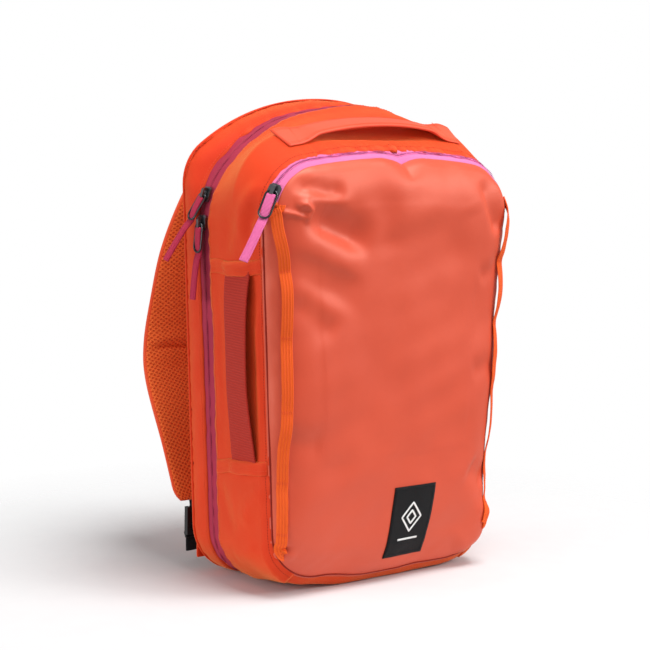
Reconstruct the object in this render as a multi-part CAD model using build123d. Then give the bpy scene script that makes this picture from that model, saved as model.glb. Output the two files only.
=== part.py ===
"""A clamshell daypack, as the separate pieces it is sewn and assembled from.

Frame, in millimetres: +Z is up, the front pocket faces -Y and the wearer's back is at +Y.
The origin is on the floor, in the middle of the flat base. Left is -X.
The rear half carries the back padding and the straps. The front half folds forward and down
about the fabric fold at the front edge of the base, once the main zip is open.
"""

import os
from math import atan2, cos, hypot, radians, sin, sqrt

from build123d import *

# ---------------------------------------------------------------- driving dimensions
Y_BACK = 72.0  # outer face of the back padding
Y_REAR = 62.0  # rear band to back padding
Y_CHAIN = 32.0  # the line where the main zip closes
Y_MIDDLE = -20.0  # fullest place of the front half's side
Y_FOOT = -46.0  # front edge of the flat base
Y_SEAM = -56.0  # front band to front pocket
TAPE = 8.0  # width of each half of the main zip's tape
FABRIC = 2.5  # fabric, foam backing and lining together
TAPE_THICK = 1.2
COIL_THICK = 2.0
COIL_WIDTH = 2.2
CHAIN_GAP = 0.8  # from the closing line to each coil, where the slider's neck runs
BASE_LIP = 5.0  # the base tray's rim
FRONT_FOOT = 7.0  # where the front half starts above the base
POCKET_ZIP_FOOT = 345.0  # the pocket zip's lower ends
STRAP_PIVOT = (74.0, 398.0)  # y, z of the line the shoulder straps swing about
LADDERLOCK_PIVOT = (99.0, 53.0)  # y, z of the bar the ladderlocks hang from

# Each outline is a soft trapezium: its top, then the centre and radius of its top corner,
# then the centre and radius of its bottom corner. The crown is one arc across the top.
MAIN = (433.0, (64.0, 330.0, 76.0), (76.0, 50.0, 50.0))
REAR = (439.0, (98.0, 364.0, 43.0), (77.0, 50.0, 50.0))
MIDDLE = (413.0, (84.0, 352.0, 58.0), (77.0, 50.0, 50.0))
SEAM = (397.0, (86.0, 338.0, 53.0), (74.0, 60.0, 50.0))


def mixed(a, b, share):
    """The outline that lies that share of the way from a to b."""
    top = a[0] + (b[0] - a[0]) * share
    corners = [tuple(p + (q - p) * share for p, q in zip(u, v)) for u, v in zip(a[1:], b[1:])]
    return (top, *corners)


FOOT = mixed(SEAM, MIDDLE, (Y_FOOT - Y_SEAM) / (Y_MIDDLE - Y_SEAM))
FOOT = (FOOT[0], FOOT[1], MIDDLE[2])  # its lowest edge is already on the floor


def crown_centre(spec):
    """Height of the centre of the crown's arc, which meets both top corners."""
    top, (x, z, radius), _ = spec
    rise = top - z
    return top - (x * x + rise * rise - radius * radius) / (2 * (rise - radius))


def side_normal(spec):
    """The right side's outward normal (x, z): the side touches both corner circles."""
    _, (cx, cz, top_radius), (fx, fz, foot_radius) = spec
    length = hypot(cx - fx, cz - fz)
    ux, uz = (cx - fx) / length, (cz - fz) / length
    lean = (foot_radius - top_radius) / length
    level = sqrt(1 - lean * lean)
    return uz * level + ux * lean, -ux * level + uz * lean


def side_x(spec, z, inset=0.0):
    """How far out the straight side is at that height."""
    nx, nz = side_normal(spec)
    _, _, (fx, fz, radius) = spec
    return (nx * fx + nz * fz + radius - inset - nz * z) / nx


def outline(y, spec, inset=0.0, lift=0.0):
    """The outline as a face at that y, drawn inwards by inset.

    All its arcs stay concentric. lift moves the bottom corners up along the sides.
    """
    top, (cx, cz, top_radius), (fx, fz, foot_radius) = spec
    top_radius, foot_radius = top_radius - inset, foot_radius - inset
    nx, nz = side_normal(spec)
    fx, fz = fx - nz * lift, fz + nx * lift
    rise = cz - crown_centre(spec)
    lx, lz = cx / hypot(cx, rise), rise / hypot(cx, rise)

    def at(centre, direction, radius, side):
        size = hypot(*direction)
        x = centre[0] + direction[0] / size * radius
        return Vector(side * x, y, centre[1] + direction[1] / size * radius)

    def right_side(side):
        foot = [at((fx, fz), d, foot_radius, side) for d in ((0, -1), (nx, nz - 1), (nx, nz))]
        head = [at((cx, cz), d, top_radius, side) for d in ((nx, nz), (nx + lx, nz + lz), (lx, lz))]
        return foot, head

    foot_right, head_right = right_side(1)
    foot_left, head_left = right_side(-1)
    peak = Vector(0, y, top - inset)
    edges = [Edge.make_line(foot_left[0], foot_right[0])]
    edges.append(Edge.make_three_point_arc(*foot_right))
    edges.append(Edge.make_line(foot_right[2], head_right[0]))
    edges.append(Edge.make_three_point_arc(*head_right))
    edges.append(Edge.make_three_point_arc(head_right[2], peak, head_left[2]))
    edges.append(Edge.make_three_point_arc(*reversed(head_left)))
    edges.append(Edge.make_line(head_left[0], foot_left[2]))
    edges.append(Edge.make_three_point_arc(*reversed(foot_left)))
    return Face(Wire(edges))


def lofted(*faces):
    """The solid through those outlines."""
    return Solid.make_loft([f.outer_wire() for f in faces], ruled=True)


def slab(x0, x1, y0, y1, z0, z1):
    """A box between those planes."""
    return Pos((x0 + x1) / 2, (y0 + y1) / 2, (z0 + z1) / 2) * Box(x1 - x0, y1 - y0, z1 - z0)


def above(z):
    return slab(-300, 300, -300, 300, z, 900)


def ring(sections, depth0, depth1):
    """A hollow band between those two depths: sections are (y, outline spec)."""
    outer = lofted(*[outline(y, spec, depth0) for y, spec in sections])
    return outer - lofted(*[outline(y, spec, depth1) for y, spec in sections])


def sheet(y, spec, inset, thick):
    """A flat sheet of that outline."""
    return extrude(outline(y, spec, inset), thick, dir=(0, 1, 0))


# ---------------------------------------------------------------- rear half
FRONT_BAND = ((Y_SEAM, SEAM), (Y_FOOT, FOOT), (Y_MIDDLE, MIDDLE), (Y_CHAIN - TAPE, MAIN))
REAR_BAND = ((Y_CHAIN + TAPE, MAIN), (Y_REAR, REAR))


def bottom_panel():
    """The base: the lowest part of the front band and of the band under the main zip."""
    band = ring((*FRONT_BAND, (Y_CHAIN + TAPE, MAIN)), 0, FABRIC)
    return band & slab(-300, 300, -300, 300, -1, BASE_LIP)


def base_pad():
    pad = slab(-66, 66, -38, 28, FABRIC + 0.4, FABRIC + 2.4)
    return fillet(pad.edges().filter_by(Axis.Z), 12)


def rear_binding():
    """The tape that binds the raw edges inside the rear seam."""
    spec = mixed(MAIN, REAR, 0.78)
    return ring(((Y_REAR - 5.2, spec), (Y_REAR - 2.8, spec)), FABRIC + 0.7, FABRIC + 2.7)


def back_lining():
    return sheet(Y_REAR - 2.6, REAR, FABRIC + 2.4, 1.0)


def frame_sheet():
    return sheet(Y_REAR - 1.5, REAR, FABRIC + 9.0, 1.5)


# The padded back, a low pillow: y beyond the rear seam, how far it draws in.
BACK_STEPS = ((0.0, 0.0), (5.0, 3.0), (Y_BACK - Y_REAR, 14.0))
COVER = 1.5  # the mesh cover's thickness


def back_shape(shrink):
    faces = [
        outline(Y_REAR + (rise - shrink if rise else 0.0), REAR, inset + shrink)
        for rise, inset in BACK_STEPS
    ]
    return lofted(*faces)


def back_foam():
    return back_shape(COVER)


def back_mesh():
    return back_shape(0.0) - back_shape(COVER)


SLEEVE_HALF = 108.0
SLEEVE_TOP = 325.0
SLEEVE_Y = 40.0
SLEEVE_PAD = 4.0


def laptop_sleeve():
    """A padded pocket open at the top, sewn along its sides and foot."""
    back = Y_REAR - 2.7
    outside = slab(-SLEEVE_HALF, SLEEVE_HALF, SLEEVE_Y, back, 14, SLEEVE_TOP)
    outside = fillet(outside.edges().filter_by(Axis.Y).group_by(Axis.Z)[0], 30)
    half = SLEEVE_HALF - 4
    pocket = slab(-half, half, SLEEVE_Y + SLEEVE_PAD, back + 1, 18, SLEEVE_TOP + 1)
    pocket = fillet(pocket.edges().filter_by(Axis.Y).group_by(Axis.Z)[0], 26)
    return outside - pocket


def sleeve_strap():
    """The elastic tab that closes over the sleeve's mouth."""
    return slab(-13, 13, SLEEVE_Y - 1.6, SLEEVE_Y - 0.2, SLEEVE_TOP - 35, SLEEVE_TOP + 18)


def strap_yoke():
    """The reinforced patch that the shoulder straps are sewn under."""
    plate = slab(-82, 82, Y_BACK, Y_BACK + 1.6, 374, 404)
    return fillet(plate.edges().filter_by(Axis.Y), 8)


def anchor_wing(side):
    """The triangular tab at the lower corner that holds the adjusting webbing."""
    corners = [(118, 12), (84, 12), (98, 30), (118, 34)]
    face = Face(Wire.make_polygon([Vector(side * x, Y_BACK + 0.2, z) for x, z in corners]))
    return extrude(face, 2.6, dir=(0, 1, 0))


# ---------------------------------------------------------------- main zip
def main_tape(y0, y1):
    """One side's tape, which ends at the base's rim."""
    return ring(((y0, MAIN), (y1, MAIN)), 0, TAPE_THICK) & above(FRONT_FOOT)


def main_coil(y0, y1):
    band = ring(((y0, MAIN), (y1, MAIN)), TAPE_THICK, TAPE_THICK + COIL_THICK)
    return band & above(FRONT_FOOT)


# ---------------------------------------------------------------- front half
def front_gusset():
    return ring(FRONT_BAND, 0, FABRIC) & above(FRONT_FOOT)


# The pocket's dome: y in front of the seam, how far it draws in, how far its foot lifts.
# The first step is the facet that carries the pocket's zip.
DOME_STEPS = ((0.0, 0.0, 0.0), (8.0, 6.0, 8.0), (20.0, 30.0, 52.0))
POCKET_CHAIN = 5.0  # from the seam to the pocket zip's closing line, along that facet
POCKET_TAPE = 3.4  # width of each half of its tape
POCKET_GAP = 0.7
POCKET_COIL = 1.6


def dome_solid(shrink):
    faces = [
        outline(Y_SEAM - (out - shrink if out else 0.0), SEAM, inset + shrink, lift)
        for out, inset, lift in DOME_STEPS
    ]
    return lofted(*faces)


def facet_outline(along, depth):
    """The outline at that distance down the zip's facet and that depth under its surface."""
    out, inset, _ = DOME_STEPS[1]
    length = hypot(out, inset)
    y = Y_SEAM - (out * along - inset * depth) / length
    return outline(y, SEAM, (inset * along + out * depth) / length)


def facet_strip(along0, along1, depth0, depth1):
    """A strip of the zip's facet, square to its surface."""
    first, last = facet_outline(along1, depth0), facet_outline(along0, depth1)
    outer = lofted(first, facet_outline(along0, depth0), last)
    return (outer - lofted(first, facet_outline(along1, depth1), last)) & above(POCKET_ZIP_FOOT)


def pocket_zip_half(sign):
    """(tape, coil) on the seam's side (-1) or the panel's side (+1) of the closing line."""
    near = POCKET_CHAIN + sign * POCKET_GAP
    far = near + sign * POCKET_TAPE
    coil = near + sign * POCKET_COIL
    tape = facet_strip(min(near, far), max(near, far), 0, TAPE_THICK)
    teeth = facet_strip(min(near, coil), max(near, coil), TAPE_THICK, TAPE_THICK + POCKET_COIL)
    return tape, teeth


def front_panel():
    shell = (dome_solid(0.0) - dome_solid(FABRIC)) & above(FRONT_FOOT)
    end = facet_outline(POCKET_CHAIN + POCKET_GAP + POCKET_TAPE, 0).center().Y
    return shell - slab(-300, 300, end, Y_SEAM + 1, POCKET_ZIP_FOOT, 900)


def pocket_divider():
    return sheet(Y_SEAM + 5.5, SEAM, FABRIC + 0.4, 1.5)


def front_binding():
    y = Y_SEAM + 7.2
    return ring(((y, SEAM), (y + 2, SEAM)), FABRIC + 0.7, FABRIC + 2.7)


MESH_Y = Y_SEAM + 7.6


def inner_mesh_pocket():
    plate = slab(-100, 100, MESH_Y, MESH_Y + 1.0, 60, 292)
    return fillet(plate.edges().filter_by(Axis.Y).group_by(Axis.Z)[0], 22)


def inner_pocket_zip():
    return slab(-100, 100, MESH_Y, MESH_Y + 1.6, 292.2, 308)


# The hauling handle arches across the top, its ends sewn to the fabric.
HANDLE_Y = -28.0
HANDLE_HALF = 92.0
HANDLE_FOOT = 405.2
HANDLE_PEAK = 416.5
HANDLE_WIDTH = 27.0
HANDLE_THICK = 3.4
HANDLE_TILT = 13.0


def bow(x0, x1, rise, thick):
    """A bowed strip in the plane: from x0 to x1 along x, its middle raised along y."""
    middle = (x0 + x1) / 2
    under = Edge.make_three_point_arc(Vector(x0, 0), Vector(middle, rise), Vector(x1, 0))
    over = Edge.make_three_point_arc(
        Vector(x1, thick), Vector(middle, rise + thick), Vector(x0, thick)
    )
    end = Edge.make_line(Vector(x1, 0), Vector(x1, thick))
    start = Edge.make_line(Vector(x0, thick), Vector(x0, 0))
    return Face(Wire([under, end, over, start]))


def top_handle():
    strip = bow(-HANDLE_HALF, HANDLE_HALF, HANDLE_PEAK - HANDLE_FOOT, HANDLE_THICK)
    level = Plane(origin=(0, HANDLE_Y, HANDLE_FOOT), x_dir=(1, 0, 0), z_dir=(0, -1, 0))
    across = (0, cos(radians(HANDLE_TILT)), sin(radians(HANDLE_TILT)))
    return extrude(level * strip, HANDLE_WIDTH / 2, dir=across, both=True)


# The side handle is webbing, its ends under two hems.
SIDE_Y = (-40.0, -4.0)
SIDE_Z = (122.0, 287.0)
SIDE_TUCK = 9.0
SIDE_BOW = 7.0
SIDE_THICK = 2.0
HEM_THICK = 1.4
HEM_TALL = 12.0


def left_side(z):
    """A plane on the left side's fullest line: x points up it, y out of it, z along -Y."""
    nx, nz = side_normal(MIDDLE)
    origin = (-side_x(MIDDLE, z), 0, z)
    return Plane(origin=origin, x_dir=(nz, 0, nx), z_dir=(0, -1, 0))


def side_handle():
    z0, z1 = SIDE_Z
    plane = left_side((z0 + z1) / 2)
    half = (z1 - z0) / 2
    strip = Pos(0, 0.3) * bow(-half, half, SIDE_BOW, SIDE_THICK)
    width = SIDE_Y[1] - SIDE_Y[0]
    handle = extrude(plane * Pos(0, 0, -SIDE_Y[1]) * strip, width, dir=(0, -1, 0))
    for sign in (-1, 1):
        tuck = Pos(sign * (half + SIDE_TUCK / 2), 0.3 + SIDE_THICK / 2, -sum(SIDE_Y) / 2)
        handle += plane * tuck * Box(SIDE_TUCK, SIDE_THICK, width)
    return handle


def handle_hem(z, slope):
    """A hemmed flap across the whole side; slope lifts its front end."""
    y0, y1 = Y_FOOT - 6, Y_CHAIN - TAPE - 1
    lift = Pos(0, 0.7 + SIDE_THICK + HEM_THICK / 2, -(y0 + y1) / 2) * Rot(0, slope, 0)
    return left_side(z) * lift * Box(HEM_TALL, HEM_THICK, y1 - y0)


# Daisy chains: webbing up each side of the front pocket, tacked at intervals.
DAISY_IN = 8.0  # from the facet's outer edge to the webbing's middle, across the bag
DAISY_WIDTH = 11.0
DAISY_THICK = 1.3
DAISY_FLAT = 3.0  # length of each tack
DAISY_TACKS = (62.0, 107.0, 172.0, 235.0, 294.0, 348.0)
DAISY_BOWS = (2.0, 4.0, 3.0, 3.5, 4.5)


def daisy_plane(side):
    """The dome's side facet at z = 0: x points up the side and y out of the facet."""
    out0, inset0, _ = DOME_STEPS[1]
    out1, inset1, _ = DOME_STEPS[2]
    nx, nz = side_normal(SEAM)
    forward, inward = out1 - out0, inset1 - inset0
    size = hypot(forward, inward)
    outward = Vector(side * nx * forward, -inward, nz * forward) / size
    up = Vector(side * -nz, 0, nx)
    x = side_x(SEAM, 0, inset0 + DAISY_IN)
    y = Y_SEAM - out0 - DAISY_IN * forward / inward
    return Plane(origin=(side * x, y, 0), x_dir=up, z_dir=up.cross(outward))


def daisy_chain(side):
    chain = []
    for z0, z1, rise in zip(DAISY_TACKS, DAISY_TACKS[1:], DAISY_BOWS):
        loop = bow(z0 + DAISY_FLAT / 2, z1 - DAISY_FLAT / 2, rise, DAISY_THICK)
        chain.append(extrude(loop, DAISY_WIDTH / 2, both=True))
    for z in DAISY_TACKS:
        chain.append(Pos(z, DAISY_THICK / 2, 0) * Box(DAISY_FLAT, DAISY_THICK, DAISY_WIDTH))
    whole = chain[0].fuse(*chain[1:])
    return daisy_plane(side) * Pos(0, 0.15, 0) * whole


def daisy_bartacks():
    """The dense stitches that hold the webbing down, one block at each tack."""
    block = Box(1.8, 0.5, DAISY_WIDTH - 1.5)
    return [
        daisy_plane(side) * Pos(z, 0.15 + DAISY_THICK + 0.3, 0) * block
        for side in (-1, 1)
        for z in DAISY_TACKS[1:-1]
    ]


LABEL_X = (-3.0, 45.0)


def label_patch():
    """The woven label on the pocket's lower slope."""
    ends = []
    for out, inset, lift in DOME_STEPS[1:]:
        ends.append(outline(Y_SEAM - out, SEAM, inset, lift).bounding_box().min)
    slope = Vector(0, ends[1].Y - ends[0].Y, ends[1].Z - ends[0].Z)
    up = slope.normalized()
    out = Vector(0, -up.Z, up.Y)
    middle = Vector(sum(LABEL_X) / 2, (ends[0].Y + ends[1].Y) / 2, (ends[0].Z + ends[1].Z) / 2)
    spot = Plane(origin=middle + out * 0.5, x_dir=(1, 0, 0), z_dir=out)
    return spot * Box(LABEL_X[1] - LABEL_X[0], slope.length - 3, 0.7)


# ---------------------------------------------------------------- sliders and pullers
SLIDER_PLAY = 0.9  # between the slider's plates and the tape or coils
PIVOT_OUT = 4.6  # the puller's pivot above the tape
RING_LENGTH = 28.0
RING_WIDTH = 12.4
RING_WIRE = 1.6
RIBBON_WIDTH = 8.4
RIBBON_THICK = 2.2
RIBBON_TAIL = 43.0
LOWER_SLIDER_TURN = 0.0  # degrees up the top corner's arc
UPPER_SLIDER_TURN = 19.0
POCKET_SLIDER_TURN = 28.0


def slider_body(coil):
    """A slider at its own origin: x across the tape, y along it, z out of it."""
    top = Pos(0, 0, SLIDER_PLAY + 0.9) * Box(11.5, 14, 1.8)
    top = chamfer(top.edges().filter_by(Axis.Z), 2.4)
    floor = -TAPE_THICK - coil - SLIDER_PLAY
    under = Pos(0, 0, floor - 0.8) * Box(9.6, 13, 1.6)
    under = chamfer(under.edges().filter_by(Axis.Z), 2.2)
    neck = Pos(0, 4.5, (SLIDER_PLAY + floor) / 2) * Box(0.8, 3.5, SLIDER_PLAY - floor + 1)
    bridge = Pos(0, 0, 5.0) * Box(3.4, 10.5, 4.6)
    bridge = chamfer(bridge.edges().filter_by(Axis.X).group_by(Axis.Z)[-1], 1.6)
    window = Pos(0, 0, PIVOT_OUT) * Box(6, 5.6, 2.8)
    return top + under + neck + (bridge - window)


def ring_outline(grow):
    """The ring in plan, hanging from its pivot down its own y."""
    slot = SlotOverall(RING_LENGTH + 2 * grow, RING_WIDTH + 2 * grow, rotation=90)
    return Pos(0, RING_WIRE / 2 - RING_LENGTH / 2, 0) * slot


def puller_ring():
    flat = ring_outline(0.0) - ring_outline(-RING_WIRE)
    wire = extrude(flat, RING_WIRE / 2, both=True)
    return fillet(wire.edges(), 0.55)


def pull_ribbon():
    """Doubled webbing, looped over the ring's lower end and stitched into a tail."""
    ring_end = RING_WIRE / 2 - RING_LENGTH
    loop = Pos(0, ring_end + 2, 0) * Box(RIBBON_WIDTH, 11, RIBBON_THICK + 2.4)
    tail = Pos(0, ring_end - 2 - RIBBON_TAIL / 2, 0) * Box(RIBBON_WIDTH, RIBBON_TAIL, RIBBON_THICK)
    channel = ring_outline(0.3) - ring_outline(-RING_WIRE - 0.3)
    return (loop + tail) - extrude(channel, RING_WIRE / 2 + 0.3, both=True)


def arc_place(spec, y, turn, inset, tilt):
    """Where a slider sits on the left top corner: tilt turns its face from the side to the front."""
    _, (cx, cz, radius), _ = spec
    turn = radians(turn)
    radial = Vector(-cos(turn), 0, sin(turn))
    along = Vector(sin(turn), 0, cos(turn))
    outward = radial * cos(tilt) + Vector(0, -sin(tilt), 0)
    origin = Vector(-cx, y, cz) + radial * (radius - inset)
    return Plane(origin=origin, x_dir=along.cross(outward), z_dir=outward).location


def pocket_place():
    """The pocket zip's slider, square to the facet that carries its zip."""
    out, inset, _ = DOME_STEPS[1]
    share = POCKET_CHAIN / hypot(out, inset)
    return arc_place(SEAM, Y_SEAM - out * share, POCKET_SLIDER_TURN, inset * share, atan2(inset, out))


# name: place, depth of the coils it runs on, puller's turn in the tape's plane, and its tilt
SLIDERS = {
    "main_slider_upper": (arc_place(MAIN, Y_CHAIN, UPPER_SLIDER_TURN, 0, 0), COIL_THICK, -18, 4),
    "main_slider_lower": (arc_place(MAIN, Y_CHAIN, LOWER_SLIDER_TURN, 0, 0), COIL_THICK, -4, 3),
    "pocket_slider": (pocket_place(), POCKET_COIL, 5, 6),
}


# ---------------------------------------------------------------- shoulder straps
# x, y, z of the strap's middle, its width and its thickness, from the yoke to the foot.
STRAP = (
    (44.0, 79.0, 391.0, 58.0, 8.0),
    (49.0, 103.0, 389.0, 62.0, 10.0),
    (56.0, 121.0, 372.0, 66.0, 12.0),
    (65.0, 136.0, 340.0, 69.0, 12.0),
    (74.0, 151.0, 295.0, 70.0, 12.0),
    (79.0, 160.0, 250.0, 70.0, 12.0),
    (83.0, 166.0, 204.0, 70.0, 12.0),
    (86.0, 157.0, 168.0, 70.0, 12.0),
    (92.0, 120.0, 112.0, 64.0, 11.0),
    (98.0, 97.0, 66.0, 44.0, 8.0),
)
STRAP_WEB_WIDTH = 20.0
WEB_THICK = 1.5


def strap_layer(side, first, width, low, high):
    """A layer of the strap from that section down, between two heights above the pad's faces.

    Heights count outwards from the pad's outer face, or from its inner face if negative.
    """
    faces = []
    for i in range(first, len(STRAP)):
        x, y, z, full, deep = STRAP[i]
        before, after = STRAP[max(0, i - 1)], STRAP[min(len(STRAP) - 1, i + 1)]
        along = Vector(0, after[1] - before[1], after[2] - before[2]).normalized()
        out = Vector(0, -along.Z, along.Y)
        across = Vector((width or full) / 2, 0, 0)
        inner, outer = [
            Vector(side * x, y, z) + out * (h + (deep if h >= 0 else -deep) / 2) for h in (low, high)
        ]
        corners = [inner - across, inner + across, outer + across, outer - across]
        faces.append(Face(Wire.make_polygon(corners)))
    return lofted(*faces)


def strap_pad(side):
    """The foam core."""
    return strap_layer(side, 0, None, -0.001, 0.0)


def strap_mesh(side):
    """The air mesh on the wearer's side."""
    return strap_layer(side, 0, None, -1.2, -0.1)


def strap_face(side):
    """The woven fabric on the outer side."""
    return strap_layer(side, 0, None, 0.1, 1.1)


def strap_webbing(side):
    """Webbing sewn down the outer side, which ends in the loop that holds the ladderlock."""
    y, z = LADDERLOCK_PIVOT
    x = side * STRAP[-1][0]
    run = strap_layer(side, 3, STRAP_WEB_WIDTH, 1.2, 1.2 + WEB_THICK)
    eye = Cylinder(BAR_RADIUS + 0.4 + WEB_THICK, LOOP_WIDTH) - Cylinder(BAR_RADIUS + 0.4, LOOP_WIDTH)
    loop = Pos(x, y, z) * Rot(0, 90, 0) * eye
    neck = slab(x - LOOP_WIDTH / 2, x + LOOP_WIDTH / 2, y - 0.75, y + 0.75, z + 2.6, z + 9)
    return [run, loop + neck]


BAR_RADIUS = 1.6
LOOP_WIDTH = 18.0
LOCK_INSIDE = 21.0  # between the ladderlock's side plates
LOCK_TALL = 27.0


def ladderlock(side):
    """A buckle of three bars between two side plates, with a thumb lip below."""
    y, z = LADDERLOCK_PIVOT
    bar = Rot(0, 90, 0) * Cylinder(BAR_RADIUS, LOCK_INSIDE + 2)
    plates = [
        Pos(sign * (LOCK_INSIDE / 2 + 1.8), 0, BAR_RADIUS - LOCK_TALL / 2) * Box(3.6, 5, LOCK_TALL)
        for sign in (-1, 1)
    ]
    middle = Pos(0, 0.6, -13.5) * Box(LOCK_INSIDE + 2, 3.6, 3.4)
    lower = Pos(0, -0.6, BAR_RADIUS - LOCK_TALL + 1.6) * Box(LOCK_INSIDE + 2, 3.4, 3.2)
    lip = Pos(0, 2.2, BAR_RADIUS - LOCK_TALL - 0.4) * Rot(-25, 0, 0) * Box(LOCK_INSIDE + 6, 2.2, 6)
    whole = bar.fuse(*plates, middle, lower, lip)
    return Pos(side * STRAP[-1][0], y, z) * whole


def webbing_tail(side):
    """The adjusting webbing's short stitched end, which hangs in front of the ladderlock."""
    y, z = LADDERLOCK_PIVOT
    x = side * STRAP[-1][0]
    half = STRAP_WEB_WIDTH / 2
    return slab(x - half, x + half, y + 5.4, y + 5.4 + 2 * WEB_THICK, 9, z - 8)


def adjust_webbing(side):
    """From the corner wing up to the ladderlock's middle bar."""
    y, z = LADDERLOCK_PIVOT
    x0, x1 = side * STRAP[-1][0], side * 104.0
    half = STRAP_WEB_WIDTH / 2
    route = ((x1, Y_BACK + 3.0, 20.0), (x1, Y_BACK + 7.0, 19.0), (x0, y - 3.4, z - 20.0))
    faces = []
    for px, py, pz in route:
        low = [Vector(px + s * half, py, pz - WEB_THICK / 2) for s in (-1, 1)]
        high = [Vector(px + s * half, py, pz + WEB_THICK / 2) for s in (1, -1)]
        faces.append(Face(Wire.make_polygon(low + high)))
    return lofted(*faces)


# ---------------------------------------------------------------- writing the parts
def write(name, *shapes):
    """Write a node: one solid, or a group of separate solids."""
    solids = [solid for shape in shapes for solid in shape.solids()]
    whole = solids[0] if len(solids) == 1 else Compound(children=solids)
    export_step(whole, f"parts/{name}.step")


def write_rear_half():
    write("rear_gusset", ring(REAR_BAND, 0, FABRIC))
    write("bottom_panel", bottom_panel())
    write("base_pad", base_pad())
    write("rear_binding", rear_binding())
    write("back_lining", back_lining())
    write("frame_sheet", frame_sheet())
    write("back_foam", back_foam())
    write("back_mesh", back_mesh())
    write("laptop_sleeve", laptop_sleeve())
    write("sleeve_strap", sleeve_strap())
    write("strap_yoke", strap_yoke())
    write("main_zip_tape_rear", main_tape(Y_CHAIN + CHAIN_GAP, Y_CHAIN + TAPE))
    write("main_zip_coil_rear", main_coil(Y_CHAIN + CHAIN_GAP, Y_CHAIN + CHAIN_GAP + COIL_WIDTH))


def write_front_half():
    write("front_gusset", front_gusset())
    write("front_panel", front_panel())
    write("pocket_divider", pocket_divider())
    write("front_binding", front_binding())
    write("inner_mesh_pocket", inner_mesh_pocket())
    write("inner_pocket_zip", inner_pocket_zip())
    write("main_zip_tape_front", main_tape(Y_CHAIN - TAPE, Y_CHAIN - CHAIN_GAP))
    write("main_zip_coil_front", main_coil(Y_CHAIN - CHAIN_GAP - COIL_WIDTH, Y_CHAIN - CHAIN_GAP))
    for name, sign in (("upper", -1), ("lower", 1)):
        tape, teeth = pocket_zip_half(sign)
        write(f"pocket_zip_tape_{name}", tape)
        write(f"pocket_zip_coil_{name}", teeth)
    write("top_handle", top_handle())
    write("side_handle", side_handle())
    write("handle_hem_upper", handle_hem(SIDE_Z[1] + 1 + HEM_TALL / 2, 3))
    write("handle_hem_lower", handle_hem(SIDE_Z[0] - 1 - HEM_TALL / 2, 7))
    write("daisy_chain_left", daisy_chain(-1))
    write("daisy_chain_right", daisy_chain(1))
    write("daisy_bartacks", *daisy_bartacks())
    write("label_patch", label_patch())


def write_sliders():
    for name, (place, coil, turn, tilt) in SLIDERS.items():
        body = slider_body(coil)
        write(name, place * body)
        puller = place * Pos(0, 0, PIVOT_OUT) * Rot(0, 0, turn) * Rot(-tilt, 0, 0)
        write(f"{name}_ring", puller * puller_ring())
        write(f"{name}_ribbon", puller * pull_ribbon())


def write_straps():
    for name, side in (("left", -1), ("right", 1)):
        write(f"strap_pad_{name}", strap_pad(side))
        write(f"strap_mesh_{name}", strap_mesh(side))
        write(f"strap_face_{name}", strap_face(side))
        write(f"strap_webbing_{name}", *strap_webbing(side))
        write(f"ladderlock_{name}", ladderlock(side))
        write(f"webbing_tail_{name}", webbing_tail(side))
        write(f"adjust_webbing_{name}", adjust_webbing(side))
        write(f"anchor_wing_{name}", anchor_wing(side))


os.makedirs("parts", exist_ok=True)
write_rear_half()
write_front_half()
write_sliders()
write_straps()
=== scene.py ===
"""The looks of a clamshell daypack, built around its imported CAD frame.

Shapes are worked out in millimetres, in the frame's axes, and turned into metres when a mesh is made.
The shells are soft surfaces over the same outlines as the CAD, so every piece meets its neighbours.
"""

import math

import bpy
import numpy as np
from mathutils import Matrix, Vector
from mathutils.bvhtree import BVHTree


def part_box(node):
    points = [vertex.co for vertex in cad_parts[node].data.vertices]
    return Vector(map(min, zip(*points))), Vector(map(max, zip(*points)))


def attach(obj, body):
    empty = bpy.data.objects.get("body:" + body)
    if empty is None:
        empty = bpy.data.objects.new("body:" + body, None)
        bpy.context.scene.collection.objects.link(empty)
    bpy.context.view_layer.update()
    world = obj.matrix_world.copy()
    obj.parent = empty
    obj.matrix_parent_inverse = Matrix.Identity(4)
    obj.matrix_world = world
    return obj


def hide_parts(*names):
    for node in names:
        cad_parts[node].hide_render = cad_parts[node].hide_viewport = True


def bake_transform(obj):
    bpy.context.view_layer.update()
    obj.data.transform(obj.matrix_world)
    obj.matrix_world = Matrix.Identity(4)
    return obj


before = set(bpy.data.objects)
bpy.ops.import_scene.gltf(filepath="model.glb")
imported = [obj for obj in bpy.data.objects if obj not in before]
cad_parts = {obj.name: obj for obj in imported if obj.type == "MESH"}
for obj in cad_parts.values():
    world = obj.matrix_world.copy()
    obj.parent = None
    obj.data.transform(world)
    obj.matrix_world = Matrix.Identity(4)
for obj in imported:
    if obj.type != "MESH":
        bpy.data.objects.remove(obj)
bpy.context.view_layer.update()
MM = 0.001


# ---------------------------------------------------------------- camera, light and floor
def place_camera():
    """The camera that fits the photo, moved left and up from a line through the frame's origin."""
    azimuth, elevation, roll = (math.radians(a) for a in (-38.0, 7.0, 1.0))
    distance, aside, above = 1.71, 0.01615, 0.23085
    back = Vector((math.sin(azimuth) * math.cos(elevation), -math.cos(azimuth) * math.cos(elevation),
                   math.sin(elevation)))
    level = Vector((math.cos(azimuth), math.sin(azimuth), 0.0))
    upright = back.cross(level)
    right = level * math.cos(roll) + upright * math.sin(roll)
    up = upright * math.cos(roll) - level * math.sin(roll)
    place = back * distance - right * aside + up * above
    data = bpy.data.cameras.new("camera")
    data.sensor_width = 36.0
    data.lens = 99.6923
    camera = bpy.data.objects.new("camera", data)
    bpy.context.scene.collection.objects.link(camera)
    camera.matrix_world = Matrix.Translation(place) @ Matrix((right, up, back)).transposed().to_4x4()
    bpy.context.scene.camera = camera


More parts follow.
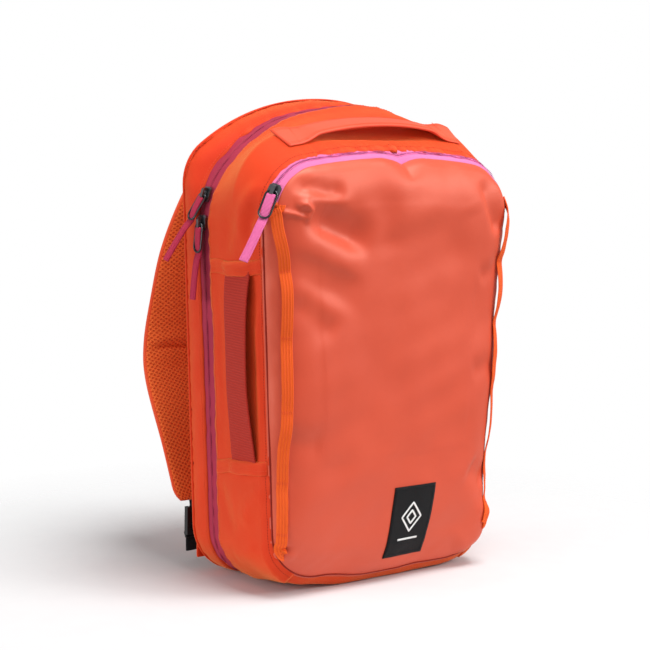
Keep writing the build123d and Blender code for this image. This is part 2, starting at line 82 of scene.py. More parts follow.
def area_light(name, place, aim, size, power):
    data = bpy.data.lights.new(name, "AREA")
    data.shape = "DISK"
    data.size = size
    data.energy = power
    light = bpy.data.objects.new(name, data)
    bpy.context.scene.collection.objects.link(light)
    light.location = place
    light.rotation_mode = "QUATERNION"
    light.rotation_quaternion = (Vector(aim) - Vector(place)).to_track_quat("-Z", "Y")


def set_studio():
    """Soft boxes above and to the front right, and a white backdrop that gives less light than it shows."""
    bpy.context.scene.view_settings.view_transform = "Standard"
    world = bpy.data.worlds.new("studio")
    world.use_nodes = True
    tree = world.node_tree
    backdrop = tree.nodes["Background"]
    backdrop.inputs["Color"].default_value = (1.0, 1.0, 1.0, 1.0)
    seen = tree.nodes.new("ShaderNodeLightPath").outputs["Is Camera Ray"]
    strength = tree.nodes.new("ShaderNodeMapRange")
    strength.inputs["To Min"].default_value = 0.42
    strength.inputs["To Max"].default_value = 1.0
    tree.links.new(seen, strength.inputs["Value"])
    tree.links.new(strength.outputs[0], backdrop.inputs["Strength"])
    bpy.context.scene.world = world
    area_light("key", (1.2, -1.6, 1.5), (0, 0, 0.3), 1.1, 7.0)
    area_light("sheen", (1.45, -1.55, 1.1), (0, 0, 0.36), 0.9, 20.0)
    area_light("top", (0.1, -0.7, 2.2), (0, 0, 0.3), 1.1, 44.0)
    area_light("fill", (-2.4, -0.55, 0.4), (0, 0, 0.15), 1.3, 7.2)
    area_light("rim", (-2.1, 0.8, 0.5), (0, 0, 0.15), 1.1, 20.0)


# ---------------------------------------------------------------- materials
def linear(code):
    """A linear colour from a display colour written as six hexadecimal digits."""
    parts = [int(code[i:i + 2], 16) / 255 for i in (0, 2, 4)]
    return tuple(c / 12.92 if c <= 0.04045 else ((c + 0.055) / 1.055) ** 2.4 for c in parts) + (1.0,)


class Nodes:
    """A material's node tree, with short ways to add to it."""

    def __init__(self, name, **sockets):
        self.material = bpy.data.materials.new(name)
        self.material.use_nodes = True
        self.tree = self.material.node_tree
        self.shader = self.tree.nodes["Principled BSDF"]
        for key, value in sockets.items():
            self.shader.inputs[key.replace("_", " ")].default_value = value

    def add(self, kind, values=None, **settings):
        node = self.tree.nodes.new("ShaderNode" + kind)
        for key, value in settings.items():
            setattr(node, key, value)
        for key, value in (values or {}).items():
            if isinstance(value, bpy.types.NodeSocket):
                self.tree.links.new(value, node.inputs[key])
            else:
                node.inputs[key].default_value = value
        return node

    def coords(self, scale, turn=0.0, kind="UV"):
        source = self.add("TexCoord").outputs[kind]
        return self.add("Mapping", {"Vector": source, "Scale": scale, "Rotation": (0, 0, turn)}).outputs[0]

    def noise(self, scale, detail):
        place = self.coords((1, 1, 1), kind="Object")
        return self.add("TexNoise", {"Vector": place, "Scale": scale, "Detail": detail}).outputs["Fac"]

    def maths(self, operation, a, b=0.0):
        return self.add("Math", {0: a, 1: b}, operation=operation).outputs[0]

    def mix(self, share, a, b):
        node = self.add("Mix", {"Factor": share}, data_type="RGBA")
        for socket, value in ((node.inputs[6], a), (node.inputs[7], b)):
            if isinstance(value, bpy.types.NodeSocket):
                self.tree.links.new(value, socket)
            else:
                socket.default_value = value
        return node.outputs[2]

    def ramp(self, value, low, high):
        return self.add("MapRange", {"Value": value, "From Min": low, "From Max": high}).outputs[0]

    def bump(self, height, strength, distance):
        return self.add("Bump", {"Height": height, "Strength": strength, "Distance": distance}).outputs[0]

    def link(self, key, value):
        self.tree.links.new(value, self.shader.inputs[key])


def wave_scale(pitch):
    """The scale at which a wave texture repeats once per pitch, in mm."""
    return (2 * math.pi / (20.0 * pitch * MM),) * 3


def weave_height(n, coords):
    """A plain weave: one set of threads crossing another."""
    warp = n.add("TexWave", {"Vector": coords, "Scale": 1.0}, bands_direction="X").outputs["Fac"]
    weft = n.add("TexWave", {"Vector": coords, "Scale": 1.0}, bands_direction="Y").outputs["Fac"]
    return n.maths("MAXIMUM", warp, weft)


def cloth_material(name, base, shade, pitch=0.5, roughness=0.8, sheen=0.04, rumple=0.3, rumple_size=60.0,
                   edge_highlight=None, weave=0.35, turn=0.0, specular=0.2, glow=(1.0, 1.0, 1.0),
                   gleam=(1.0, 1.0, 1.0)):
    """Woven cloth: base and shade colours, and the threads' pitch in mm."""
    n = Nodes(name, Roughness=roughness, Sheen_Weight=sheen, Sheen_Roughness=0.5,
              Specular_IOR_Level=specular, Sheen_Tint=(*glow, 1.0), Specular_Tint=(*gleam, 1.0))
    height = weave_height(n, n.coords(wave_scale(pitch), turn))
    big = n.noise(14.0, 4.0)
    fine = n.noise(900.0, 2.0)
    share = n.maths("ADD", n.maths("MULTIPLY", n.ramp(big, 0.3, 0.7), 0.6), n.maths("MULTIPLY", fine, 0.4))
    colour = n.mix(share, linear(shade), linear(base))
    # Convex edges are mixed up to halfway toward a lighter colour: a painted highlight where the edges catch
    # the light.
    if edge_highlight:
        edges = n.ramp(n.add("NewGeometry").outputs["Pointiness"], 0.52, 0.60)
        colour = n.mix(n.maths("MULTIPLY", edges, 0.5), colour, linear(edge_highlight))
    n.link("Base Color", colour)
    soft = n.noise(rumple_size, 3.0)
    normal = n.bump(soft, rumple, 0.0012)
    threads = n.add("Bump", {"Height": height, "Strength": weave, "Distance": 0.00015, "Normal": normal})
    n.link("Normal", threads.outputs[0])
    return n.material


def webbing_material(name, base, shade, rib, across):
    """Flat webbing with ribs of that pitch in mm, across its width or along its length."""
    n = Nodes(name, Roughness=0.75, Sheen_Weight=0.05, Sheen_Roughness=0.4, Specular_IOR_Level=0.25)
    ribs = n.add("TexWave", {"Vector": n.coords(wave_scale(rib)), "Scale": 1.0, "Distortion": 0.6,
                             "Detail": 2.0},
                 bands_direction="X" if across else "Y").outputs["Fac"]
    threads = n.add("TexWave", {"Vector": n.coords(wave_scale(0.7)), "Scale": 1.0},
                    bands_direction="Y" if across else "X").outputs["Fac"]
    fuzz = n.noise(350.0, 3.0)
    height = n.maths("ADD", n.maths("MULTIPLY", ribs, 1.0), n.maths("MULTIPLY", threads, 0.35))
    share = n.maths("ADD", n.maths("MULTIPLY", ribs, 0.55), n.maths("MULTIPLY", fuzz, 0.5))
    n.link("Base Color", n.mix(share, linear(shade), linear(base)))
    n.link("Normal", n.bump(height, 0.6, 0.00035))
    return n.material


def mesh_material(name, base, hole, pitch, turn):
    """Spacer mesh: rows of dark holes in a knitted face."""
    n = Nodes(name, Roughness=0.85, Sheen_Weight=0.06, Sheen_Roughness=0.5, Specular_IOR_Level=0.15)
    turns = 1.0 / (pitch * MM)
    place = n.coords((turns, turns * 0.8, turns), turn)
    cells = n.add("TexVoronoi", {"Vector": place, "Scale": 1.0, "Randomness": 0.12},
                  voronoi_dimensions="2D").outputs["Distance"]
    dots = n.ramp(cells, 0.18, 0.42)
    fuzz = n.noise(500.0, 3.0)
    light = n.mix(fuzz, linear(base), tuple(min(1.0, c * 1.25) for c in linear(base)[:3]) + (1.0,))
    n.link("Base Color", n.mix(dots, linear(hole), light))
    n.link("Normal", n.bump(dots, 0.8, 0.0007))
    return n.material


def metal_material(name, base, roughness):
    n = Nodes(name, Metallic=1.0)
    marks = n.noise(420.0, 5.0)
    edges = n.ramp(n.add("NewGeometry").outputs["Pointiness"], 0.50, 0.62)
    rubbed = tuple(min(1.0, c * 2.6) for c in linear(base)[:3]) + (1.0,)
    n.link("Base Color", n.mix(edges, linear(base), rubbed))
    n.link("Roughness", n.maths("ADD", n.maths("MULTIPLY", marks, 0.2), roughness - 0.1))
    n.link("Normal", n.bump(marks, 0.15, 0.0002))
    return n.material


def plastic_material(name, base, roughness):
    n = Nodes(name, Specular_IOR_Level=0.5)
    grain = n.noise(1400.0, 3.0)
    scuffs = n.noise(90.0, 6.0)
    pale = tuple(min(1.0, c * 1.8 + 0.01) for c in linear(base)[:3]) + (1.0,)
    n.link("Base Color", n.mix(n.ramp(scuffs, 0.5, 0.8), linear(base), pale))
    n.link("Roughness", n.maths("ADD", n.maths("MULTIPLY", scuffs, 0.3), roughness - 0.15))
    n.link("Normal", n.bump(grain, 0.3, 0.0001))
    return n.material


def floor_material():
    """White paper that fades into the backdrop, so no horizon shows."""
    n = Nodes("floor_paper", Roughness=0.9, Specular_IOR_Level=0.1)
    grain = n.noise(40.0, 4.0)
    n.link("Base Color", n.mix(grain, linear("D8D8D9"), linear("DDDDDD")))
    reach = n.add("VectorMath", {0: n.add("TexCoord").outputs["Object"]},
                  operation="LENGTH").outputs["Value"]
    n.link("Alpha", n.ramp(reach, 0.55, 0.22))
    return n.material


M = {
    # the lighter edge colour given to the shell is a painted highlight on its convex edges
    "shell": cloth_material("shell_cloth", "E03A15", "D12E0E", pitch=0.5, roughness=0.6, sheen=0.5,
                            rumple=0.5, edge_highlight="EC5A30",
                            weave=0.5, specular=0.15, glow=(1.0, 0.5, 0.16)),
    "coated": cloth_material("coated_cloth", "D4421F", "CA3A1A", pitch=0.6, roughness=0.52, sheen=0.16,
                             rumple=0.2, rumple_size=45.0,
                             weave=0.14, specular=1.0, glow=(1.0, 0.62, 0.42), gleam=(1.0, 0.8, 0.66)),
    "lining": cloth_material("lining_cloth", "55565C", "484950", pitch=0.5, roughness=0.75),
    "tape": cloth_material("zip_tape_cloth", "B8324E", "9C2640", pitch=0.7, roughness=0.7, weave=0.9,
                           turn=0.8, rumple=0.2),
    "pocket_tape": cloth_material("pocket_tape_cloth", "EE7CB0", "DC689E", pitch=0.7, roughness=0.65,
                                  weave=0.9, turn=0.8, rumple=0.2),
    # the lighter edge colour given to the handle is a painted highlight on its convex edges
    "handle": cloth_material("handle_cloth", "E85434", "DC4526", pitch=0.6, roughness=0.55, rumple=0.2,
                             edge_highlight="F58A68", specular=0.4),
    "side_web": webbing_material("side_handle_webbing", "B92E1E", "9C2012", 2.4, across=True),
    "daisy_web": webbing_material("daisy_webbing", "F2621F", "EA5614", 2.6, across=False),
    "ribbon": webbing_material("main_ribbon_webbing", "C22C50", "9A1E38", 1.1, across=True),
    "pocket_ribbon": webbing_material("pocket_ribbon_webbing", "E870A4", "CE5A92", 1.1, across=True),
    "black_web": webbing_material("black_webbing", "1E1E21", "101012", 1.2, across=False),
    "thread": cloth_material("stitch_thread", "EE5A30", "D8431E", pitch=0.3, roughness=0.6),
    "dark_thread": cloth_material("chain_thread", "5A1230", "470C26", pitch=0.3, roughness=0.6),
    # dark thread for the front seam's stitches, also the colour of the painted shadow strip in that seam
    "seam_stitch_and_shadow": cloth_material("seam_stitch_and_shadow_cloth", "9A2414", "84190C", pitch=0.3, roughness=0.6),
    "pink_thread": cloth_material("pocket_chain_thread", "A04C88", "8C3C76", pitch=0.3, roughness=0.6),
    "air_mesh": mesh_material("strap_air_mesh", "FF7236", "D85022", 3.1, 0.62),
    "back_mesh": mesh_material("back_air_mesh", "D8441A", "9C200E", 3.6, 0.62),
    "pocket_mesh": mesh_material("inner_pocket_mesh", "3A3B40", "0E0E10", 2.0, 0.785),
    "label": cloth_material("label_cloth", "0E0D10", "09090B", pitch=0.35, roughness=0.7, weave=0.6),
    "mark": cloth_material("label_mark_thread", "F2F2F0", "DEDEDC", pitch=0.4, roughness=0.6, weave=0.6),
    "metal": metal_material("gunmetal", "4A4A4D", 0.32),
    "plastic": plastic_material("buckle_plastic", "101012", 0.5),
    "coil": plastic_material("zip_coil_plastic", "7A1F42", 0.45),
    "pocket_coil": plastic_material("pocket_coil_plastic", "B85A98", 0.45),
    "board": plastic_material("frame_board_plastic", "1A1A1C", 0.6),
    "edge": cloth_material("strap_edge_cloth", "EA5222", "DB4214", pitch=0.9, roughness=0.75, sheen=0.3,
                           weave=0.8, turn=0.5),
    "floor": floor_material(),
}


# ---------------------------------------------------------------- meshes from grids of points
def smooth(value, low, high):
    """0 below low and 1 above high, with soft ends."""
    t = np.clip((np.asarray(value, float) - low) / (high - low), 0, 1)
    return t * t * (3 - 2 * t)


def unit(v):
    return v / np.maximum(np.linalg.norm(v, axis=-1, keepdims=True), 1e-9)


def ripple(p, size, seed):
    """A smooth random field of about unit height over points in mm, whose waves are about that long."""
    rng, waves = np.random.default_rng(seed), 14
    total = np.zeros(p.shape[:-1])
    for _ in range(waves):
        way = rng.normal(size=p.shape[-1])
        way /= np.linalg.norm(way)
        total += np.sin(p @ way * (2 * math.pi / size * rng.uniform(0.55, 1.5)) + rng.uniform(0, 6.28))
    return total * math.sqrt(2.0 / waves)


def fold(p, points, width, height, skew=0.0, ends=0.25):
    """Height of a fold whose crest follows points, in the plane of p. skew makes its left side wider."""
    pts = [np.array(q, float) for q in points]
    lengths = [np.linalg.norm(b - a) for a, b in zip(pts, pts[1:])]
    total, run = sum(lengths), 0.0
    near = np.full(p.shape[:-1], 1e9)
    side = np.zeros(p.shape[:-1])
    along = np.zeros(p.shape[:-1])
    for a, b, length in zip(pts, pts[1:], lengths):
        way = (b - a) / length
        t = np.clip((p - a) @ way, 0, length)
        off = p - (a + t[..., None] * way)
        dist = np.linalg.norm(off, axis=-1)
        closer = dist < near
        near = np.where(closer, dist, near)
        side = np.where(closer, way[0] * off[..., 1] - way[1] * off[..., 0], side)
        along = np.where(closer, (run + t) / total, along)
        run += length
    taper = smooth(along, 0, ends) * smooth(1 - along, 0, ends) if ends > 0 else 1.0
    local = width * (1 + skew * np.tanh(side / width * 2))
    return height * taper * np.exp(-((near / local) ** 2))


def soften(p):
    """How the stuffed bag departs from its pattern.

    It is fuller at the top right and at the lower right front. The front corners of its base lift,
    the right one less than the left one.
    """
    x, y, z = p[..., 0], p[..., 1], p[..., 2]
    q = p.copy()
    full = np.exp(-(((x - 70) / 60) ** 2)) * smooth(z, 330, 425)
    q[..., 2] += 8.5 * full * (1 - smooth(-y, -6, 48)) * (1 - 0.55 * smooth(y, 40, 64))
    corner = (np.abs(x) - 42) / 36 + (-y - 22) / 26 - 0.6
    q[..., 2] += 6.0 * (1 - 0.8 * smooth(x, 20, 60)) * smooth(corner, 0, 1.5) * (1 - smooth(z, 5, 70))
    stuffed = np.exp(-(((x - 112) / 24) ** 2) - (((z - 16) / 22) ** 2)) * smooth(-y, 10, 45)
    q[..., 0] += 8.0 * stuffed
    q[..., 2] = np.maximum(q[..., 2] - 3.0 * stuffed, 0.3)
    return q


def new_object(name, points, faces, uv=None):
    """A smooth mesh object. points are in mm, and uv has one pair per face corner, in metres."""
    mesh = bpy.data.meshes.new(name)
    mesh.from_pydata((np.asarray(points) * MM).tolist(), [], [list(f) for f in faces])
    mesh.polygons.foreach_set("use_smooth", [True] * len(mesh.polygons))
    if uv is not None:
        mesh.uv_layers.new(name="UVMap").data.foreach_set("uv", np.asarray(uv, np.float32).ravel())
    mesh.update()
    made = bpy.data.objects.new(name, mesh)
    bpy.context.scene.collection.objects.link(made)
    return made


def grid_parts(g, closed_u=False, closed_v=False):
    """Quad corners and their uv for a grid of points (rows, columns, 3)."""
    rows, columns = g.shape[:2]
    wide, tall = columns if closed_u else columns - 1, rows if closed_v else rows - 1
    along = np.concatenate([g, g[:, :1]], 1) if closed_u else g
    u = np.concatenate([[0], np.cumsum(np.linalg.norm(np.diff(along, axis=1), axis=-1).mean(0))]) * MM
    across = np.concatenate([g, g[:1]], 0) if closed_v else g
    v = np.concatenate([[0], np.cumsum(np.linalg.norm(np.diff(across, axis=0), axis=-1).mean(1))]) * MM
    j, i = np.meshgrid(np.arange(tall), np.arange(wide), indexing="ij")
    corners = [(j, i), (j, i + 1), (j + 1, i + 1), (j + 1, i)]
    faces = np.stack([(a % rows) * columns + b % columns for a, b in corners], -1).reshape(-1, 4)
    uv = np.stack([np.stack([u[b], v[a]], -1) for a, b in corners], 2).reshape(-1, 2)
    return faces, uv


def grid_object(name, g, closed_u=False, closed_v=False, caps=False, flip=False):
    faces, uv = grid_parts(g, closed_u, closed_v)
    if flip:
        faces, uv = faces[:, ::-1], uv.reshape(-1, 4, 2)[:, ::-1].reshape(-1, 2)
    faces, uv = faces.tolist(), uv.tolist()
    if caps:
        rows, columns = g.shape[:2]
        ends = [[j * columns for j in range(rows)], [j * columns + columns - 1 for j in range(rows)]]
        for ring, turned in ((ends[0], flip), (ends[1], not flip)):
            ring = ring[::-1] if turned else ring
            faces.append(ring)
            uv += [[0.0, 0.0]] * len(ring)
    return new_object(name, g.reshape(-1, 3), faces, uv)


def grid_normals(g, closed=False):
    along = np.roll(g, -1, 1) - np.roll(g, 1, 1) if closed else np.gradient(g, axis=1)
    return unit(np.cross(along, np.gradient(g, axis=0)))


def solidify(piece, thickness, offset=-1.0):
    """Gives a sheet its thickness in mm."""
    modifier = piece.modifiers.new("thickness", "SOLIDIFY")
    modifier.thickness = thickness * MM
    modifier.offset = offset
    modifier.use_even_offset = False


def subdivide(piece):
    modifier = piece.modifiers.new("smooth", "SUBSURF")
    modifier.levels = modifier.render_levels = 1


def finish(piece, body, slot, material, *replaced):
    """Gives a piece its material, its body and the CAD nodes that it stands for. slot is not used."""
    if len(piece.data.materials):
        piece.data.materials.clear()
    piece.data.materials.append(material)
    if body:
        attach(piece, body)
    if replaced:
        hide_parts(*replaced)
    return piece


# ---------------------------------------------------------------- the bag's outlines
MAIN = (433.0, (64.0, 330.0, 76.0), (76.0, 50.0, 50.0))
REAR = (439.0, (98.0, 364.0, 43.0), (77.0, 50.0, 50.0))
MIDDLE = (413.0, (84.0, 352.0, 58.0), (77.0, 50.0, 50.0))
SEAM = (397.0, (86.0, 338.0, 53.0), (74.0, 60.0, 50.0))
END_STEPS, SIDE_STEPS = 110, 150
LOOP = 2 * (END_STEPS + SIDE_STEPS)


OUTSIDE = -150.0  # a coordinate left of the bag, or in front of it, where rays start


def box_mm(node):
    low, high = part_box(node)
    return np.array(low) / MM, np.array(high) / MM


Y_REAR = box_mm("rear_gusset")[1][1]
Y_SEAM = box_mm("front_gusset")[0][1]
Y_TAPE_REAR = box_mm("main_zip_tape_rear")[1][1]
Y_TAPE_FRONT = box_mm("main_zip_tape_front")[0][1]
Y_CHAIN = (box_mm("main_zip_tape_rear")[0][1] + box_mm("main_zip_tape_front")[1][1]) / 2
Y_MIDDLE, Y_FOOT = -20.0, -46.0


def mixed(a, b, share):
    top = a[0] + (b[0] - a[0]) * share
    return (top, *[tuple(p + (q - p) * share for p, q in zip(u, v)) for u, v in zip(a[1:], b[1:])])


FOOT = mixed(SEAM, MIDDLE, (Y_FOOT - Y_SEAM) / (Y_MIDDLE - Y_SEAM))
FOOT = (FOOT[0], FOOT[1], MIDDLE[2])


def half_outline(spec):
    """The right half of an outline as three lines of points, split at the middles of its corner arcs."""
    top, (cx, cz, head_radius), (fx, fz, foot_radius) = spec
    length = math.hypot(cx - fx, cz - fz)
    ux, uz = (cx - fx) / length, (cz - fz) / length
    lean = (foot_radius - head_radius) / length
    level = math.sqrt(1 - lean * lean)
    side = math.atan2(-ux * level + uz * lean, uz * level + ux * lean)
    rise = top - cz
    crown = top - (cx * cx + rise * rise - head_radius * head_radius) / (2 * (rise - head_radius))
    head = math.atan2(cz - crown, cx)

    def arc(x, z, radius, a, b, count=40):
        t = np.linspace(a, b, count + 1)
        return np.stack([x + radius * np.cos(t), z + radius * np.sin(t)], 1)

    foot_arc = arc(fx, fz, foot_radius, -math.pi / 2, side)
    head_arc = arc(cx, cz, head_radius, side, head)
    peak = arc(0, crown, top - crown, head, math.pi / 2, 80)
    low = np.concatenate([[[0.0, fz - foot_radius]], foot_arc[:21]])
    return low, np.concatenate([foot_arc[20:], head_arc[:21]]), np.concatenate([head_arc[20:], peak[1:]])


def run_of(line):
    """The distance walked at each point of a line."""
    return np.concatenate([[0], np.cumsum(np.linalg.norm(np.diff(line, axis=0), axis=1))])


def pick(values, run, at):
    """Vectors known at the distances in run, read at other distances."""
    return np.stack([np.interp(at, run, values[:, k]) for k in range(values.shape[1])], 1)


def resample(line, count):
    """That many equal steps along a line of points."""
    run = run_of(line)
    return pick(line, run, np.linspace(0, run[-1], count + 1))


def loop(spec):
    """The whole outline, from its bottom left corner: along the base, up the right, over the crown, down."""
    low, side, high = (resample(line, n) for line,
                       n in zip(half_outline(spec), (END_STEPS // 2, SIDE_STEPS, END_STEPS // 2)))
    mirror = np.array([-1.0, 1.0])
    base = np.concatenate([(low * mirror)[::-1], low[1:]])
    crown = np.concatenate([high, (high * mirror)[::-1][1:]])
    left = (side * mirror)[::-1]
    return np.concatenate([base[:-1], side[:-1], crown[:-1], left[:-1]])


def loop_normals(line):
    way = np.roll(line, -1, 0) - np.roll(line, 1, 0)
    return unit(np.stack([way[:, 1], -way[:, 0]], 1))


def at_y(line, y):
    return np.stack([line[:, 0], np.full(len(line), float(y)), line[:, 1]], 1)


def rings_at(line, normals, steps):
    """Copies of a loop, each moved in by its inset and set at its depth."""
    return np.stack([at_y(line - normals * inset, y) for inset, y in steps])


STATIONS = ((Y_SEAM, SEAM), (Y_FOOT, FOOT), (Y_MIDDLE, MIDDLE), (Y_TAPE_FRONT, MAIN), (Y_TAPE_REAR, MAIN),
            (Y_REAR, REAR))
STATION_LOOPS = [(y, loop(spec)) for y, spec in STATIONS]


def loop_at(y):
    """The outline's points at any depth, between the stations."""
    ys = [s[0] for s in STATION_LOOPS]
    k = int(np.clip(np.searchsorted(ys, y) - 1, 0, len(ys) - 2))
    share = np.clip((y - ys[k]) / (ys[k + 1] - ys[k]), 0, 1)
    return STATION_LOOPS[k][1] * (1 - share) + STATION_LOOPS[k + 1][1] * share


def band(ys, lifts):
    """Rows of loops at those depths, each moved out by that many mm."""
    rows = []
    for y, lift in zip(ys, lifts):
        line = loop_at(y)
        rows.append(at_y(line + loop_normals(line) * lift, y))
    return np.stack(rows)


def patch(line3, bulge):
    """The inside of a closed loop of points as a grid, its middle moved by the vector bulge."""
    s, t = np.linspace(0, 1, SIDE_STEPS + 1)[:, None, None], np.linspace(0, 1, END_STEPS + 1)[None, :, None]
    closed = np.concatenate([line3, line3[:1]])
    base = closed[: END_STEPS + 1][None]
    right = closed[END_STEPS: END_STEPS + SIDE_STEPS + 1][:, None]
    crown = closed[END_STEPS + SIDE_STEPS: 2 * END_STEPS + SIDE_STEPS + 1][::-1][None]
    left = closed[2 * END_STEPS + SIDE_STEPS:][::-1][:, None]
    a, b, c, d = base[:, :1], base[:, -1:], crown[:, :1], crown[:, -1:]
    g = (1 - s) * base + s * crown + (1 - t) * left + t * right
    g = g - ((1 - s) * (1 - t) * a + (1 - s) * t * b + s * (1 - t) * c + s * t * d)
    swell = (1 - (2 * s - 1) ** 2) * (1 - (2 * t - 1) ** 2)
    return g + swell * np.array(bulge, float)


def rings_and_patch(name, rings, bulge, flip=False):
    """Closed rings of points, the last one filled by a patch, as one mesh."""
    count = rings.shape[0]
    inner = patch(rings[-1], bulge)
    index = np.full(inner.shape[:2], -1)
    last = (count - 1) * LOOP
    c, r = np.arange(END_STEPS + 1), np.arange(SIDE_STEPS + 1)
    index[0, c] = last + c
    index[r, END_STEPS] = last + END_STEPS + r
    index[SIDE_STEPS, c] = last + END_STEPS + SIDE_STEPS + END_STEPS - c
    index[r, 0] = last + (2 * END_STEPS + SIDE_STEPS + SIDE_STEPS - r) % LOOP
    free = index < 0
    index[free] = count * LOOP + np.arange(free.sum())
    points = np.concatenate([rings.reshape(-1, 3), inner[free]])
    faces, _ = grid_parts(rings, closed_u=True)
    quads = np.stack([index[:-1, :-1], index[:-1, 1:], index[1:, 1:], index[1:, :-1]], -1).reshape(-1, 4)
    faces = np.concatenate([faces, quads])
    if flip:
        faces = faces[:, ::-1]
    uv = points[faces.reshape(-1)][:, [0, 2]] * MM
    return new_object(name, points, faces, uv)


def read_points(piece):
    out = np.zeros(len(piece.data.vertices) * 3)
    piece.data.vertices.foreach_get("co", out)
    return out.reshape(-1, 3) / MM


def read_normals(piece):
    out = np.zeros(len(piece.data.vertices) * 3)
    piece.data.vertices.foreach_get("normal", out)
    return out.reshape(-1, 3)


def write_points(piece, points):
    piece.data.vertices.foreach_set("co", (points * MM).astype(np.float32).ravel())
    piece.data.update()


def apply_modifiers(piece):
    """Bakes the piece's modifiers into its mesh."""
    depsgraph = bpy.context.evaluated_depsgraph_get()
    mesh = bpy.data.meshes.new_from_object(piece.evaluated_get(depsgraph))
    old = piece.data
    piece.modifiers.clear()
    piece.data = mesh
    bpy.data.meshes.remove(old)
    return piece


def surface_of(piece):
    """A tree for finding places on the piece, in metres."""
    mesh = piece.data
    return BVHTree.FromPolygons([v.co for v in mesh.vertices], [p.vertices for p in mesh.polygons])


def on_surface(tree, points, way):
    """Where lines through points, along way, meet the surface: places and outward normals, in mm."""
    way = Vector(way).normalized()
    places, normals = [], []
    for p in np.asarray(points).reshape(-1, 3):
        start = Vector(p * MM) - way * 0.08
        hit, normal, _, _ = tree.ray_cast(start, way)
        if hit is None:
            hit, normal, _, _ = tree.find_nearest(Vector(p * MM))
        places.append(np.array(hit) / MM)
        normals.append(np.array(normal if normal.dot(way) < 0 else -normal))
    shape = np.asarray(points).shape
    return np.array(places).reshape(shape), np.array(normals).reshape(shape)


# ---------------------------------------------------------------- strips, webbing and stitches
def strip(name, middle, across, out, width, thick, closed=False, square=3.2, steps=16):
    """Flat webbing or padding along a line: across and out are unit vectors, one per point."""
    middle, across, out = (np.asarray(a, float) for a in (middle, across, out))
    count = len(middle)
    half_w = np.broadcast_to(np.asarray(width, float) / 2, (count,))
    half_t = np.broadcast_to(np.asarray(thick, float) / 2, (count,))
    t = np.linspace(0, 2 * math.pi, steps, endpoint=False)
    cx = np.sign(np.cos(t)) * np.abs(np.cos(t)) ** (2 / square)
    cy = np.sign(np.sin(t)) * np.abs(np.sin(t)) ** (2 / square)
    wide, deep = across * half_w[:, None], out * half_t[:, None]
    g = middle[None] + cx[:, None, None] * wide[None] + cy[:, None, None] * deep[None]
    return grid_object(name, g, closed_u=closed, closed_v=True, caps=not closed)


def level_strip(name, line, width, thick, steps):
    """Webbing whose width stays along x."""
    across = np.repeat([[1.0, 0.0, 0.0]], len(line), 0)
    out = np.cross(unit(np.gradient(line, axis=0)), across)
    return strip(name, line, across, out, width, thick, square=5.0, steps=steps)


def frames_along(line, out):
    """(across, out) for a strip along a line, given about which way is out."""
    way = unit(np.gradient(np.asarray(line, float), axis=0))
    across = unit(np.cross(out, way))
    return across, unit(np.cross(way, across))


def stitch_points(line, out, pitch, length, radius):
    """Points and faces of a row of short stitches along a line."""
    line, out = np.asarray(line, float), np.asarray(out, float)
    run = run_of(line)
    at = np.arange(pitch / 2, run[-1], pitch)
    place, up = pick(line, run, at), unit(pick(out, run, at))
    way = unit(pick(np.gradient(line, axis=0), run, at))
    side = np.cross(up, way)
    points = []
    for along, size in ((-0.5, 0.25), (-0.3, 1.0), (0.3, 1.0), (0.5, 0.25)):
        for a, b in ((1, 0), (0, 1), (-1, 0), (0, -1)):
            points.append(place + way * along * length + (side * a + up * b) * size * radius)
    points = np.stack(points, 1)
    block = []
    for j in range(3):
        for i in range(4):
            block.append((j * 4 + i, j * 4 + (i + 1) % 4, (j + 1) * 4 + (i + 1) % 4, (j + 1) * 4 + i))
    block += [(3, 2, 1, 0), (12, 13, 14, 15)]
    faces = (np.array(block)[None] + (np.arange(len(at)) * 16)[:, None, None]).reshape(-1, 4)
    return points.reshape(-1, 3), faces


def stitches(name, lines, body, slot, material, pitch=3.2, length=2.3, radius=0.28):
    """Rows of stitches as one piece: lines are (points, outward normals)."""
    points, faces, start = [], [], 0
    for line, out in lines:
        p, f = stitch_points(line, out, pitch, length, radius)
        points.append(p)
        faces.append(f + start)
        start += len(p)
    made = new_object(name, np.concatenate(points), np.concatenate(faces))
    return finish(made, body, slot, material)


# ---------------------------------------------------------------- how the fabric lies
def zip_wave(p):
    """How far the main zip strays along y, the same for everything sewn to it."""
    x, z = p[..., 0], p[..., 2]
    over = smooth(z, 385, 425)
    wander = np.sin(x / 19.0 + 0.6) * np.exp(-(((x + 5) / 60) ** 2)) * 2.0 * over
    down = np.where(x < 0, 0.2, 0.7) * np.sin(z / 34.0 + np.sign(x))
    down = down * (1 - over) * (1 - np.exp(-(((z - 340) / 45) ** 2)))
    return wander + down


def near_zip(p, reach=14.0):
    return np.exp(-(((p[..., 1] - Y_CHAIN) / reach) ** 2))


def wave_zip(p):
    q = p.copy()
    q[..., 1] += zip_wave(p) * near_zip(p)
    over = smooth(p[..., 2], 385, 425)
    q[..., 2] += over * near_zip(p, 18.0) * 1.5 * np.sin(p[..., 0] / 21.0 - 0.9)
    return q


def dip(x):
    """How far the pocket zip sags in the middle, where its fabric folds."""
    return 5.2 * np.clip(1 - np.abs(x - 7.0) / 27.0, 0, 1) ** 1.7


BAND_EDGE = -1.2  # the fabric's fold stops that far past the edge of the zip's tape in the CAD
PANEL_IN, PANEL_OUT, PANEL_LIFT = 42.0, 21.5, 66.0
SEAM_LOOP = loop(SEAM)
SEAM_NORMALS = loop_normals(SEAM_LOOP)


def panel_out(inset):
    return PANEL_OUT * (1 - (1 - np.clip(inset / PANEL_IN, 0, 1)) ** 2.6) ** 0.8


